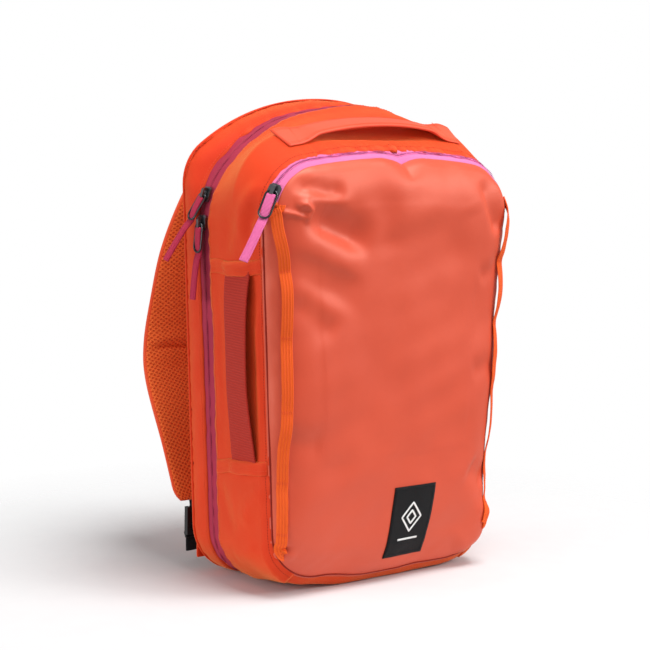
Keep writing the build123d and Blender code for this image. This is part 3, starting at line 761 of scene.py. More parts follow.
def panel_ring(inset, sink=0.0):
    """One loop of the pocket front at that distance in from the seam, per point or for all."""
    inset = np.broadcast_to(np.asarray(inset, float), (LOOP,))
    lift = PANEL_LIFT * inset / PANEL_IN
    x, z = (SEAM_LOOP - SEAM_NORMALS * inset[:, None]).T
    (_, (cx, cz, _), (fx, fz, _)) = SEAM
    weight = np.where(z > fz, np.clip((cz - z) / (cz - fz), 0, 1), 1.0)
    lean = (cx - fx) / (cz - fz)
    x = x + np.sign(x) * lean * lift * weight * np.clip(np.abs(x) / fx, 0, 1)
    return np.stack([x, Y_SEAM - panel_out(inset) + sink, z + lift * weight], 1)


ZIP_INSET = 6.8  # the pocket zip lies between the seam and this inset
POCKET_FOOT = box_mm("pocket_zip_tape_upper")[0][2]


def panel_start():
    """Where the pocket front's fabric starts: at the seam, or past the zip on top."""
    return ZIP_INSET * smooth(SEAM_LOOP[:, 1], POCKET_FOOT - 10, POCKET_FOOT + 2)


# The crest of each fold in the pocket front in x and z, its width, height, skew and taper.
PANEL_FOLDS = (
    ([(-122, 366), (-104, 366), (-84, 362), (-62, 362)], 7.5, -2.8, 0.2),
    ([(-120, 357), (-100, 355), (-80, 354), (-52, 350)], 9.0, 2.0, 0.0),
    ([(-118, 350), (-108, 351), (-103, 346), (-106, 340), (-112, 337)], 3.2, 2.4, 0.0),
    ([(-134, 346), (-118, 343), (-108, 340)], 2.2, 1.5, 0.0),
    ([(-112, 340), (-90, 335), (-66, 326), (-30, 312)], 15.0, -6.5, 0.3, 0.35),
    ([(-126, 320), (-100, 311), (-70, 300), (-34, 284)], 12.0, 1.7, 0.3, 0.35),
    ([(-130, 300), (-104, 290), (-74, 276), (-40, 256)], 17.0, -2.6, 0.3, 0.35),
    ([(0, 356), (36, 354), (78, 346)], 36.0, 4.5, 0.0, 0.0),
    ([(-122, 268), (-96, 254), (-72, 232)], 13.0, -1.8, 0.0),
    ([(-40, 372), (-24, 340), (-16, 300)], 16.0, -1.2, 0.0),
    ([(60, 388), (74, 366), (84, 336)], 14.0, 1.0, 0.0),
    ([(92, 372), (103, 346), (118, 316)], 8.0, -2.8, 0.2),
    ([(112, 372), (122, 348), (128, 322)], 6.0, 1.6, 0.0),
    ([(128, 300), (112, 286), (92, 278)], 9.0, -1.6, 0.0),
    ([(126, 190), (108, 196), (86, 190)], 10.0, -1.4, 0.0),
    ([(120, 84), (104, 92), (90, 104)], 12.0, -3.0, 0.0),
    ([(124, 66), (116, 42), (104, 24), (84, 12)], 17.0, 4.0, 0.0, 0.2),
    ([(-132, 52), (-122, 47), (-108, 45)], 2.2, -2.8, 0.0),
    ([(-132, 40), (-118, 38), (-102, 37)], 5.0, 1.8, 0.0),
    ([(-124, 150), (-104, 142), (-84, 140)], 12.0, -1.2, 0.0),
)


def panel_folds(p):
    """Folds and hollows pressed into the pocket front."""
    h = sum(fold(p[:, [0, 2]], *row) for row in PANEL_FOLDS)
    h += 0.55 * ripple(p[:, [0, 2]], 120.0, 5) + 0.18 * ripple(p[:, [0, 2]], 42.0, 6)
    edge = np.exp(-np.maximum(p[:, 1] - (Y_SEAM - 9), 0) / 5.0) * smooth(p[:, 1], Y_SEAM - 16, Y_SEAM - 6)
    return h + edge * 0.16 * ripple(p, 17.0, 8)


def make_front_panel():
    start = panel_start()
    steps = (np.arange(29) / 28) ** 1.25
    rows = [panel_ring(start - 0.9, 2.4), panel_ring(start - 0.3, 0.9)]
    rows += [panel_ring(start + (PANEL_IN - start) * s) for s in steps]
    panel = rings_and_patch("front_panel_cloth", np.stack(rows), (0, -3.2, 0))
    group = panel.vertex_groups.new(name="inner")
    group.add([int(i) for i in np.nonzero(np.arange(len(panel.data.vertices)) > LOOP * 12)[0]], 1.0,
              "REPLACE")
    even = panel.modifiers.new("even", "SMOOTH")
    even.factor, even.iterations, even.vertex_group = 0.5, 160, "inner"
    apply_modifiers(panel)
    points, normals = read_points(panel), read_normals(panel)
    from_seam = smooth(Y_SEAM - points[:, 1], 0.5, 6.0)
    zip_side = smooth(points[:, 2], POCKET_FOOT - 24,
                      POCKET_FOOT - 8) * (1 - smooth(Y_SEAM - points[:, 1], 8.5, 15.0))
    height = panel_folds(points) * (0.25 + 1.1 * from_seam) * (1 - 0.9 * zip_side)
    points = points + normals * height[:, None]
    sag = dip(points[:, 0]) * smooth(points[:, 2], 366, 388)
    points[:, 2] -= sag
    points[:, 1] += 0.35 * sag
    write_points(panel, soften(points))
    return panel


def band_strip(rows):
    """The part of a band of loops above the base's rim: from the right foot over the top to the left foot."""
    columns = np.arange(RIM, LOOP + END_STEPS - RIM + 1) % LOOP
    return rows[:, columns]


def base_strip(rows, spare=2):
    return rows[:, np.arange(END_STEPS - RIM - spare, RIM + spare + 1)]


MAIN_LOOP = loop(MAIN)
RIM = int(np.argmax((np.arange(LOOP) > END_STEPS // 2) & (MAIN_LOOP[:, 1] > 6.0)))


def crown_share(p):
    """1 on the top of the bag and 0 on its sides."""
    return smooth(p[..., 2], 372, 400) * (1 - smooth(np.abs(p[..., 0]), 88, 116))


# The creases on the left side, in y and z: crest, width, height and skew.
SIDE_FOLDS = (
    ([(-52, 352), (-40, 334), (-37, 308)], 5.0, -2.4, 0.3),
    ([(-49, 372), (-30, 345), (-26, 318)], 7.0, 2.4, 0.0),
    ([(-50, 338), (-44, 322), (-43, 304)], 3.5, 1.6, 0.0),
    ([(-14, 340), (-8, 318), (-2, 300)], 9.0, -1.6, 0.0),
    ([(-48, 102), (-30, 84), (-18, 60)], 9.0, 1.6, 0.0),
    ([(20, 96), (6, 74), (-6, 46)], 9.0, -1.8, 0.0),
    ([(-40, 46), (-22, 34), (2, 26)], 7.0, 1.4, 0.0),
)


def front_band_height(p):
    t = np.clip((Y_TAPE_FRONT + BAND_EDGE - p[..., 1]) / (Y_TAPE_FRONT - Y_SEAM), 0, 1)
    top = crown_share(p)
    left = smooth(-p[..., 0], 100, 120)
    right = smooth(p[..., 0], 100, 120)
    h = 0.7 * (1 - smooth(t, 0.0, 0.16)) + 2.6 * np.sin(math.pi * t) ** 0.8
    under = np.exp(-((p[..., 0] / 62) ** 4)) * np.exp(-(((p[..., 1] + 24) / 13) ** 4))
    h -= top * under * 6.5
    seam = np.exp(-(p[..., 1] - Y_SEAM) / 7.0)
    h += top * seam * (1.6 + 1.3 * ripple(p[..., [0, 0]] * 0.7, 15.0, 21)
                       + 0.8 * ripple(p[..., [0, 0]] * 0.7, 7.5, 22))
    x = p[..., 0]
    h += top * seam * 1.5 * np.exp(-(((x - 4) / 42) ** 2)) * np.sin(x / 4.6 + np.sin(x / 9.0))
    h += (1 - top) * seam * 0.35 * ripple(p[..., [0, 2]], 14.0, 23)
    h += np.exp(-(Y_TAPE_FRONT - p[..., 1]) / 6.0) * 0.35 * ripple(p[..., [0, 2]], 12.0, 24)
    h += 0.55 * ripple(p, 70.0, 25) * (1 - seam)
    side = p[..., [1, 2]]
    lines = sum(fold(side, *row) for row in SIDE_FOLDS)
    recess = smooth(p[..., 2], 112, 128) * (1 - smooth(p[..., 2], 284, 296))
    lines -= recess * 2.6 * np.sin(math.pi * t) ** 0.5
    lines += recess * (fold(side, [(-50, 276), (-45, 230), (-47, 170), (-43, 136)], 3.2, 1.8, 0.0)
                       + fold(side, [(16, 280), (18, 210), (14, 140)], 5.0, 1.0, 0.0))
    h += left * lines
    h += right * (fold(side, [(-44, 330), (-26, 300), (-14, 250)], 10.0, 1.8, 0.0)
                  + fold(side, [(10, 240), (-10, 190), (-34, 160)], 12.0, -2.0, 0.0))
    return h


def lift_rows(rows, height):
    return rows + grid_normals(rows, True) * height(rows)[..., None]


def open_zip(p, edge):
    """How far the fabric draws back from the zip over the shoulders and the crown."""
    return 2.6 * smooth(p[..., 2], 330, 385) * np.exp(-np.abs(p[..., 1] - edge) / 7.0)


def make_front_band():
    ys = np.concatenate([[Y_TAPE_FRONT + BAND_EDGE - 0.5],
                         np.linspace(Y_TAPE_FRONT + BAND_EDGE, Y_SEAM + 0.7, 42), [Y_SEAM + 0.2]])
    lifts = np.zeros(len(ys))
    lifts[0], lifts[-1] = -2.4, -2.6
    rows = band(ys, lifts)
    rows = lift_rows(rows, front_band_height)
    rows[..., 1] -= open_zip(rows, Y_TAPE_FRONT + BAND_EDGE)
    rows = soften(wave_zip(rows))
    piece = grid_object("front_band_cloth", band_strip(rows))
    solidify(piece, 1.1)
    return piece, rows


def rear_band_height(p):
    t = np.clip((Y_REAR - p[..., 1]) / (Y_REAR - Y_TAPE_REAR), 0, 1)
    top = crown_share(p)
    h = 0.7 * smooth(t, 0.82, 1.0) + 1.9 * np.sin(math.pi * np.clip(t, 0, 1)) ** 0.7
    zip_side = np.exp(-np.abs(p[..., 1] - Y_TAPE_REAR) / 7.0)
    h += top * zip_side * (0.6 + 1.1 * ripple(p[..., [0, 0]] * 0.7, 26.0, 31)
                           + 0.4 * ripple(p[..., [0, 0]] * 0.7, 11.0, 32))
    h += (1 - top) * zip_side * 0.4 * ripple(p[..., [0, 2]], 22.0, 33)
    h += np.exp(-np.abs(Y_REAR - p[..., 1]) / 5.0) * 0.3 * ripple(p[..., [0, 2]], 10.0, 34)
    return h + 0.5 * ripple(p, 55.0, 35) * np.sin(math.pi * t)


def make_rear_band():
    ys = np.concatenate([[Y_REAR + 0.6], np.linspace(Y_REAR + 0.2, Y_TAPE_REAR - BAND_EDGE, 16),
                         [Y_TAPE_REAR - BAND_EDGE + 0.5]])
    lifts = np.zeros(len(ys))
    lifts[0], lifts[-1] = -2.6, -2.4
    rows = lift_rows(band(ys, lifts), rear_band_height)
    rows[..., 1] += open_zip(rows, Y_TAPE_REAR - BAND_EDGE)
    rows = soften(wave_zip(rows))
    piece = grid_object("rear_band_cloth", rows, closed_u=True)
    solidify(piece, 1.1)
    return piece, rows


def tape_rows(ys, lifts):
    rows = band(ys, lifts)
    rows = rows + grid_normals(rows, True) * (0.12 * ripple(rows[..., [0, 2]], 18.0, 41))[..., None]
    return soften(wave_zip(rows))


def make_main_tapes():
    for name, sign, outer in (("rear", 1, Y_TAPE_REAR), ("front", -1, Y_TAPE_FRONT)):
        ys = np.concatenate([np.linspace(outer + sign * 6.5, Y_CHAIN + sign * 2.0, 10),
                             Y_CHAIN + sign * np.array([1.4, 0.8, 0.35, 0.16, 0.14])])
        lifts = np.concatenate([np.linspace(-1.3, -0.3, 10), [-0.1, 0.15, 0.05, -0.3, -1.5]])
        rows = tape_rows(ys, lifts)
        if sign < 0:
            rows = rows[::-1]
        piece = grid_object(f"main_zip_tape_{name}_cloth", band_strip(rows))
        solidify(piece, 0.5)
        finish(piece, f"{name}_half", "main_zip_tape", M["tape"], f"main_zip_tape_{name}")


def sewn_line(y, lift, clearance=0.0):
    """A line along the band at that depth, with its normals, for stitches and coils."""
    rows = tape_rows(np.array([y + 0.6, y, y - 0.6]), np.full(3, lift))
    strip_rows = band_strip(rows)
    normals = grid_normals(strip_rows)
    return strip_rows[1] + normals[1] * clearance, normals[1]


def make_coil(name, line, normals, body, material, pitch, wide, deep, wire):
    """A zip's coil: a fine helix along its line, under its tape. It stands for the CAD node of that name."""
    run, around = run_of(line), 6
    at = np.linspace(0, run[-1], int(run[-1] / pitch * around))
    centre, up = pick(line, run, at), unit(pick(normals, run, at))
    side = np.cross(unit(np.gradient(centre, axis=0)), up)
    turn = 2 * math.pi * np.arange(len(at)) / around
    spine = centre + side * (wide * np.cos(turn))[:, None] + up * (deep * np.sin(turn))[:, None]
    across, out = frames_along(spine, side)
    coil = strip(f"{name}_teeth", spine, across, out, wire, wire, square=2.0, steps=5)
    finish(coil, body, "zip_coil", material, name)


def make_bag_stitches(front_rows, rear_rows):
    """Stitch rows beside the main zip, on the fabric's folded edges, and a dark strip in the front seam as
    its painted shadow.
    """
    def row_line(rows, k):
        part = band_strip(rows)
        normals = grid_normals(part)
        return part[k] + normals[k] * 0.1, normals[k]
    stitches("front_band_stitches", [row_line(front_rows, 2)], "front_half", "shell_fabric", M["thread"])
    stitches("front_seam_stitches", [row_line(front_rows, -4)], "front_half", "shell_fabric",
             M["seam_stitch_and_shadow"], pitch=2.6, length=1.6)
    # A dark strip laid in the front seam, below the pocket zip: a painted shadow where the band's edge
    # overhangs the pocket front. It has the colour of the seam's dark stitches.
    columns = np.arange(LOOP)[(SEAM_LOOP[:, 1] < POCKET_FOOT - 2)]
    columns = np.roll(columns, -int(np.argmax(np.diff(columns) > 1)) - 1)
    groove = soften(at_y(SEAM_LOOP + SEAM_NORMALS * 0.3, Y_SEAM - 0.1))[columns]
    flat, away = frames_along(groove, np.stack([SEAM_NORMALS[columns, 0], np.full(len(columns), -0.6),
                                                SEAM_NORMALS[columns, 1]], 1))
    seam_shadow_strip = strip("front_seam_shadow_strip", groove, flat, away, 1.5, 1.2, square=2.0, steps=8)
    finish(seam_shadow_strip, "front_half", "shell_fabric", M["seam_stitch_and_shadow"])
    stitches("rear_band_stitches", [row_line(rear_rows, -3)], "rear_half", "shell_fabric", M["thread"])
    for half, sign in (("front", -1), ("rear", 1)):
        stitches(f"chain_stitches_{half}", [sewn_line(Y_CHAIN + sign, 0.0, 0.05)], f"{half}_half",
                 "main_zip_tape", M["dark_thread"], pitch=1.7, length=1.2, radius=0.26)


# ---------------------------------------------------------------- the pocket's zip
POCKET_COLUMNS = np.arange(LOOP)[SEAM_LOOP[:, 1] > POCKET_FOOT - 13]


def pocket_rows(insets, sinks, follow):
    """Rows of the pocket zip's tape; follow is how much of the zip's sag each row takes."""
    rows = np.stack([panel_ring(i, s) for i, s in zip(insets, sinks)])
    rows[..., 2] -= dip(rows[..., 0]) * np.asarray(follow)[:, None] * smooth(rows[..., 2], 370, 388)
    rows = rows + grid_normals(rows, True) * (0.12 * ripple(rows[..., [0, 2]], 20.0, 44))[..., None]
    return soften(rows)[:, POCKET_COLUMNS]


def make_pocket_zip():
    upper = pocket_rows([-0.6, -0.3, 0.3, 0.8, 1.3, 1.75, 2.0, 2.05],
                        [2.5, 0.8, 0.55, 0.45, 0.35, 0.2, 0.3, 1.6], [0, 0, .1, .2, .35, .5, .6, .6])
    lower = pocket_rows([2.2, 2.25, 2.6, 3.6, 4.8, 6.0, 7.2, 8.4], [1.6, 0.3, 0.1, 0.1, 0.2, 0.3, 0.8, 1.6],
                        [.6, .6, .7, .8, .9, 1, 1, 1])
    for name, rows in (("upper", upper), ("lower", lower)):
        piece = grid_object(f"pocket_zip_tape_{name}_cloth", rows)
        solidify(piece, 0.5)
        finish(piece, "front_half", "pocket_zip_tape", M["pocket_tape"], f"pocket_zip_tape_{name}")
    lines = []
    for rows, k in ((upper, 5), (lower, 2)):
        normals = grid_normals(rows)
        lines.append((rows[k] + normals[k] * 0.1, normals[k]))
    stitches("pocket_chain_stitches", lines, "front_half", "pocket_zip_tape", M["pink_thread"], pitch=1.5,
             length=1.05, radius=0.2)
    for name, rows, k in (("upper", upper, 6), ("lower", lower, 1)):
        normals = grid_normals(rows)
        make_coil(f"pocket_zip_coil_{name}", rows[k] - normals[k] * 1.5, normals[k], "front_half",
                  M["pocket_coil"], pitch=1.6, wide=0.6, deep=0.55, wire=0.5)


# ---------------------------------------------------------------- base, fold and back
def make_base():
    ys = np.linspace(Y_TAPE_REAR + 1.5, Y_FOOT - 1.5, 30)
    rows = band(ys, np.full(30, -0.9))
    rows = rows + grid_normals(rows, True) * (0.25 * ripple(rows, 40.0, 51))[..., None]
    tray = grid_object("base_cloth", base_strip(soften(rows), 4))
    solidify(tray, 1.4)
    finish(tray, "rear_half", "shell_fabric", M["shell"], "bottom_panel")
    ys = np.linspace(Y_FOOT + 2.5, Y_SEAM + 0.3, 9)
    lifts = -0.5 + np.concatenate([np.zeros(8), [-1.6]])
    fold_rows = soften(base_strip(band(ys, lifts), 3))
    seam_fold = grid_object("base_fold_cloth", fold_rows)
    seam_fold.data.materials.append(M["shell"])
    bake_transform(seam_fold)
    low, high = box_mm("base_pad")
    s = np.linspace(-1, 1, 30)
    x = (low[0] + high[0]) / 2 + np.sign(s) * np.abs(s) ** 0.9 * (high[0] - low[0]) / 2
    y = np.linspace(high[1], low[1], 20)
    corner = lambda a, b: 1 - 0.06 * a ** 4 * b ** 4
    g = np.array([[(px * corner(px / x[-1], (py - y.mean()) / (y[0] - y.mean())), py, high[2]) for px in x]
                  for py in y])
    g[..., 2] += 0.35 * ripple(g, 45.0, 52) + 0.3
    pad = grid_object("base_pad_cloth", g)
    solidify(pad, 2.2)
    finish(pad, "rear_half", "foam", M["lining"], "base_pad")


def puff(piece, held, pressure, cap):
    """Blows a sewn pad up as cloth. held is 1 where it is sewn down, and no point moves more than cap mm."""
    before = read_points(piece)
    group = piece.vertex_groups.new(name="sewn")
    for i in np.nonzero(held > 0.03)[0]:
        group.add([int(i)], float(min(held[i], 1.0)), "REPLACE")
    cloth = piece.modifiers.new("puff", "CLOTH")
    cloth.settings.quality = 4
    cloth.settings.mass = 0.3
    cloth.settings.tension_stiffness = cloth.settings.compression_stiffness = 12.0
    cloth.settings.bending_stiffness = 0.4
    cloth.settings.use_pressure = True
    cloth.settings.uniform_pressure_force = pressure
    cloth.settings.effector_weights.gravity = 0.0
    cloth.settings.vertex_group_mass = "sewn"
    cloth.point_cache.frame_start, cloth.point_cache.frame_end = 1, 20
    scene = bpy.context.scene
    for moment in range(1, 21):
        scene.frame_set(moment)
    made = piece.evaluated_get(bpy.context.evaluated_depsgraph_get()).to_mesh()
    after = np.empty(len(before) * 3, np.float32)
    made.vertices.foreach_get("co", after)
    piece.evaluated_get(bpy.context.evaluated_depsgraph_get()).to_mesh_clear()
    piece.modifiers.remove(cloth)
    scene.frame_set(1)
    travel = after.reshape(-1, 3).astype(float) / MM - before
    size = np.linalg.norm(travel, axis=1, keepdims=True)
    travel *= np.minimum(1.0, cap / np.maximum(size, 1e-6)) * (1 - np.clip(held, 0, 1))[:, None]
    write_points(piece, before + travel)


def back_channels(p):
    """Channels sewn into the padded back."""
    f = p[:, [0, 2]]
    h = np.zeros(len(p))
    for side in (-1, 1):
        h += fold(f, [(side * 30, 352), (side * 24, 250), (side * 24, 150), (side * 32, 66)], 4.5, -4.5,
                  0.0, ends=0.12)
    for z in (290, 205, 122):
        for side in (-1, 1):
            h += fold(f, [(side * 38, z), (side * 84, z + 9)], 3.6, -3.2, 0.0, ends=0.15)
    return h


# The padded back's rounded edge: how far in from the outline, and how far out from the rear seam.
PAD_EDGE = ((-0.3, -2.4), (0.2, -0.4), (0.5, 1.2), (1.6, 3.2), (3.4, 5.2), (6.0, 6.9), (9.5, 8.2),
            (14.0, 9.1), (19.0, 9.6), (25.0, 9.9), (31.0, 10.0))


def make_back():
    rear = loop(REAR)
    normals = loop_normals(rear)
    rows = np.stack([at_y(rear - normals * i, Y_REAR + o) for i, o in PAD_EDGE])
    pad = rings_and_patch("back_pad_cloth", rows, (0, 1.2, 0), flip=True)
    points, out = read_points(pad), read_normals(pad)
    points = points + out * (back_channels(points) + 0.4 * ripple(points, 60.0, 55))[:, None]
    write_points(pad, soften(points))
    held = np.clip(-back_channels(points) / 2.2, 0, 1)
    held[: LOOP * 7] = 1.0
    puff(pad, held, 4.0, 3.0)
    finish(pad, "rear_half", "air_mesh", M["back_mesh"], "back_mesh", "back_foam")
    ring = at_y(rear + normals * 0.4, Y_REAR + 0.5)
    ring = soften(ring)[::2]
    way = unit(np.roll(ring, -1, 0) - np.roll(ring, 1, 0))
    out = np.repeat([[0.0, 1.0, 0.0]], len(ring), 0)
    piping = strip("rear_seam_piping", ring, unit(np.cross(out, way)), out, 2.8, 2.8, closed=True,
                   square=2.0, steps=10)
    finish(piping, "rear_half", "shell_fabric", M["shell"])
    return pad


# ---------------------------------------------------------------- handles, hems, daisy chains, label
def soft_line(line, count):
    """A smooth curve through points (Catmull-Rom), as that many steps."""
    p = np.asarray(line, float)
    p = np.concatenate([[2 * p[0] - p[1]], p, [2 * p[-1] - p[-2]]])
    spans = len(p) - 3
    at = np.linspace(0, spans, count + 1)
    k = np.minimum(at.astype(int), spans - 1)
    t = (at - k)[:, None]
    a, b, c, d = p[k], p[k + 1], p[k + 2], p[k + 3]
    return 0.5 * (2 * b + (c - a) * t + (2 * a - 5 * b + 4 * c - d) * t ** 2
                  + (3 * b - a - 3 * c + d) * t ** 3)


def edge_rows(line, across, out, width, thick, inset=2.6):
    """Two stitch lines near both edges of a strip, on its outer face."""
    lines = []
    for sign in (-1, 1):
        lines.append((line + across * sign * (np.asarray(width)[..., None] / 2 - inset)
                      + out * (np.asarray(thick)[..., None] / 2), out))
    return lines


def make_top_handle(band_tree):
    low, high = box_mm("top_handle")
    half, peak, foot = high[0], high[2] - 1.7 - 3.0, 405.2
    middle_y, tilt = (low[1] + high[1]) / 2, math.radians(14.0)
    x = np.linspace(-half - 9, half + 9, 90)
    line = np.stack([x, np.full(len(x), middle_y),
                     foot + 1.7 + (peak - foot) * (1 - (x / half) ** 2) + 1.2], 1)
    ground, normals = on_surface(band_tree, line, (0, 0, -1))
    across = np.array([0, math.cos(tilt), math.sin(tilt)])
    line = soften(line)
    sewn = smooth(np.abs(x), half - 28, half)[:, None]
    line = line * (1 - sewn) + (ground + normals * 1.3) * sewn
    way = unit(np.gradient(line, axis=0))
    sideways = unit(np.cross(normals, way))
    sideways = sideways * np.sign(sideways @ across)[:, None]
    flat = unit(across[None] * (1 - sewn) + sideways * sewn)
    out = unit(np.cross(way, flat))
    width = 27.0 + 2.5 * sewn[:, 0]
    thick = 3.4 - 1.5 * sewn[:, 0]
    handle = strip("top_handle_cloth", line, flat, out, width, thick, square=4.5, steps=24)
    finish(handle, "front_half", "shell_fabric", M["handle"], "top_handle")
    rows = edge_rows(line, flat, out, width, thick, 2.4) + edge_rows(line, flat, out, width, thick, 4.4)
    for k in (5, 9, -6, -10):
        spread = np.linspace(-0.46, 0.46, 12)[:, None]
        skew = np.sign(k) * 7.0 * (spread + 0.46)
        rows.append((line[k] + flat[k] * width[k] * spread + way[k] * skew + out[k] * thick[k] / 2,
                     np.repeat(out[k][None], 12, 0)))
    stitches("top_handle_stitches", rows, "front_half", "shell_fabric", M["thread"], pitch=2.9, length=2.0,
             radius=0.24)


def make_side_handle(band_tree):
    low, high = box_mm("side_handle")
    z = np.linspace(low[2] - 1, high[2] + 1, 80)
    y = np.full(len(z), (low[1] + high[1]) / 2)
    ground, _ = on_surface(band_tree, np.stack([np.full(len(z), OUTSIDE), y, z], 1), (1, 0, 0))
    smooth_x = np.polyval(np.polyfit(z, ground[:, 0], 3), z)
    t = np.clip((z - low[2] - 10) / (high[2] - low[2] - 20), 0, 1)
    bow = 4.6 * np.sin(math.pi * t) ** 0.7 + 0.3 * np.sin(z / 13.0) * (t > 0.05)
    line = np.stack([smooth_x - 1.2 - 0.6 * np.sin(math.pi * t) - bow * (t > 0), y, z], 1)
    way = unit(np.gradient(line, axis=0))
    twist = np.radians(-7.0 * np.sin(math.pi * t))
    across = unit(np.stack([-np.sin(twist), np.cos(twist), np.zeros(len(z))], 1))
    out = unit(np.cross(way, across))
    out = out * np.sign(-out[:, :1])
    handle = strip("side_handle_webbing", line, across, out, 36.0, 2.2, square=5.0, steps=26)
    finish(handle, "front_half", "side_webbing", M["side_web"], "side_handle")


def make_hem(name, band_tree, rise, seed):
    low, high = box_mm(name)
    y = np.linspace(Y_TAPE_FRONT + BAND_EDGE - 1.0, low[1] - 0.5, 64)
    middle = (low[2] + high[2]) / 2 + rise * (y - y.mean()) / (y[-1] - y[0])
    middle += 0.7 * np.sin(y / 11.0 + seed) + 0.4 * np.sin(y / 4.7 + seed)
    g = []
    heights = np.array([-6.0, -6.2, -5.4, -4.0, -2.0, 0.0, 2.5, 5.0, 6.6])
    lifts = np.array([0.2, 2.9, 3.6, 3.5, 3.0, 3.1, 3.0, 2.2, 0.3])
    webbing = np.exp(-(((y + 22) / 19) ** 6))
    for height, lift in zip(heights, lifts):
        places = np.stack([np.full(len(y), OUTSIDE), y, middle + height], 1)
        ground, normals = on_surface(band_tree, places, (1, 0, 0))
        held = smooth(y, low[1] - 1, low[1] + 5) * (1 - smooth(y, high[1] - 5, high[1] + 1))
        extra = webbing * 2.3 * (lift > 1) + 0.2 * np.sin(y / 5.0 + height)
        g.append(ground + normals * ((lift * 0.42 + extra) * held + 0.15)[:, None])
    piece = grid_object(f"{name}_cloth", np.stack(g))
    solidify(piece, 0.8)
    finish(piece, "front_half", "shell_fabric", M["shell"], name)
    rows = np.stack(g)
    normals = grid_normals(rows)
    if normals[4, 30, 0] > 0:
        normals = -normals
    return [(rows[4] + normals[4] * 0.1, normals[4])]


CHAIN_LEFT = ((-116.0, 40.0), (-118.5, 50.0), (-120.0, 80.0), (-120.5, 140.0), (-121.5, 215.0),
              (-123.0, 272.0), (-125.5, 300.0), (-131.0, 334.0), (-132.0, 352.0))
CHAIN_RIGHT = ((115.0, 40.0), (118.0, 52.0), (120.0, 90.0), (121.0, 150.0), (123.0, 230.0), (126.0, 300.0),
               (129.0, 352.0))


# The heights where a chain is sewn down, how far each loop between them stands out on the left,
# and the share of that on the right.
TACKS = np.array((40.0, 62.0, 107.0, 172.0, 235.0, 294.0, 348.0, 356.0))
BOWS = np.array((0.6, 1.6, 3.6, 2.6, 3.4, 3.6, 0.5))
RIGHT_BOWS = np.array((0.4, 0.5, 0.9, 0.9, 1.3, 1.3, 1.0))


def make_daisy_chain(side, panel_tree):
    node = f"daisy_chain_{side}"
    low, high = box_mm(node)
    route = CHAIN_LEFT if side == "left" else CHAIN_RIGHT
    line = soft_line([(x, 0.0, z) for x, z in route], 220)
    line[:, 2] = np.clip(line[:, 2], low[2] - 18, high[2] + 3)
    line[:, 1] = (low[1] + high[1]) / 2
    ground, normals = on_surface(panel_tree, line, (0.0, 1.0, 0.0))
    normals = unit(np.stack([np.convolve(np.pad(normals[:, k], 6, "edge"), np.ones(13) / 13, "valid")
                             for k in range(3)], 1))
    bows = BOWS * RIGHT_BOWS if side == "right" else BOWS
    z = line[:, 2]
    k = np.clip(np.searchsorted(TACKS, z) - 1, 0, len(bows) - 1)
    share = np.clip((z - TACKS[k]) / (TACKS[k + 1] - TACKS[k]), 0, 1)
    bow = bows[k] * np.sin(math.pi * share) ** 0.9
    line = ground + normals * (0.75 + bow)[:, None]
    line[:, 0] += (0.4 if side == "left" else -0.6) * np.sin(math.pi * share) * (bows[k] > 1)
    for axis in range(3):
        line[:, axis] = np.convolve(np.pad(line[:, axis], 2, "edge"), np.ones(5) / 5, "valid")
    way = unit(np.gradient(line, axis=0))
    across = unit(np.cross(normals, way))
    out = unit(np.cross(way, across))
    webbing = strip(f"{node}_webbing", line, across, out, 10.6, 1.3, square=5.0, steps=14)
    finish(webbing, "front_half", "daisy_webbing", M["daisy_web"], node)
    rows = []
    for tack in TACKS[1:-1]:
        k = int(np.argmin(np.abs(z - tack)))
        spread = np.linspace(-0.47, 0.47, 9)[:, None] * 10.6
        for shift in (-0.9, 0.0, 0.9):
            rows.append((line[k] + across[k] * spread + way[k] * shift + out[k] * 0.7,
                         np.repeat(out[k][None], 9, 0)))
    for offset in (-2.6, 0.0, 2.6):
        rows.append((line + across * offset + out * 0.66, out))
    return rows


def make_label(panel_tree):
    low, high = box_mm("label_patch")
    rows, columns = 26, 20
    x, z = np.linspace(low[0], high[0], columns), np.linspace(low[2] - 1.5, high[2] + 1.0, rows)
    g = np.array([[(px + 0.06 * (pz - z.mean()), OUTSIDE, pz) for px in x] for pz in z])
    ground, normals = on_surface(panel_tree, g, (0, 1, 0))
    g = ground + normals * 0.75
    label = grid_object("label_patch_cloth", g)
    solidify(label, 0.7)
    finish(label, "front_half", "label", M["label"], "label_patch")
    border = np.concatenate([g[1, 1:-1], g[1:-1, -2], g[-2, 1:-1][::-1], g[1:-1, 1][::-1]])
    border_out = np.concatenate([normals[1, 1:-1], normals[1:-1, -2], normals[-2, 1:-1][::-1],
                                 normals[1:-1, 1][::-1]])
    stitches("label_stitches", [(border + border_out * 0.1, border_out)], "front_half", "label", M["label"],
             pitch=2.4, length=1.7, radius=0.22)
    cx, cz = x.mean(), z.mean() + 4.0
    loops = []
    for size in (11.0, 5.0):
        corners = [(cx, cz + size * 1.25), (cx + size, cz), (cx, cz - size * 1.25), (cx - size, cz)]
        walk = [np.array(a) + (np.array(b) - np.array(a)) * s for a,
                b in zip(corners, corners[1:] + corners[:1]) for s in np.linspace(0, 0.9, 10)]
        loops.append((walk, True))
    loops.append(([(cx - 12 + s, cz - 21.0) for s in np.linspace(0, 24, 16)], False))
    for k, (walk, closed) in enumerate(loops):
        points = np.array([(px + 0.06 * (pz - z.mean()), OUTSIDE, pz) for px, pz in walk])
        ground, out = on_surface(panel_tree, points, (0, 1, 0))
        line = ground + out * 0.9
        if closed:
            way = unit(np.roll(line, -1, 0) - np.roll(line, 1, 0))
            across = unit(np.cross(out, way))
        else:
            across, out = frames_along(line, out)
        mark = strip(f"label_mark_{k}", line, across, out, 1.9, 0.5, closed=closed, square=4.0, steps=10)
        finish(mark, "front_half", "label", M["mark"])


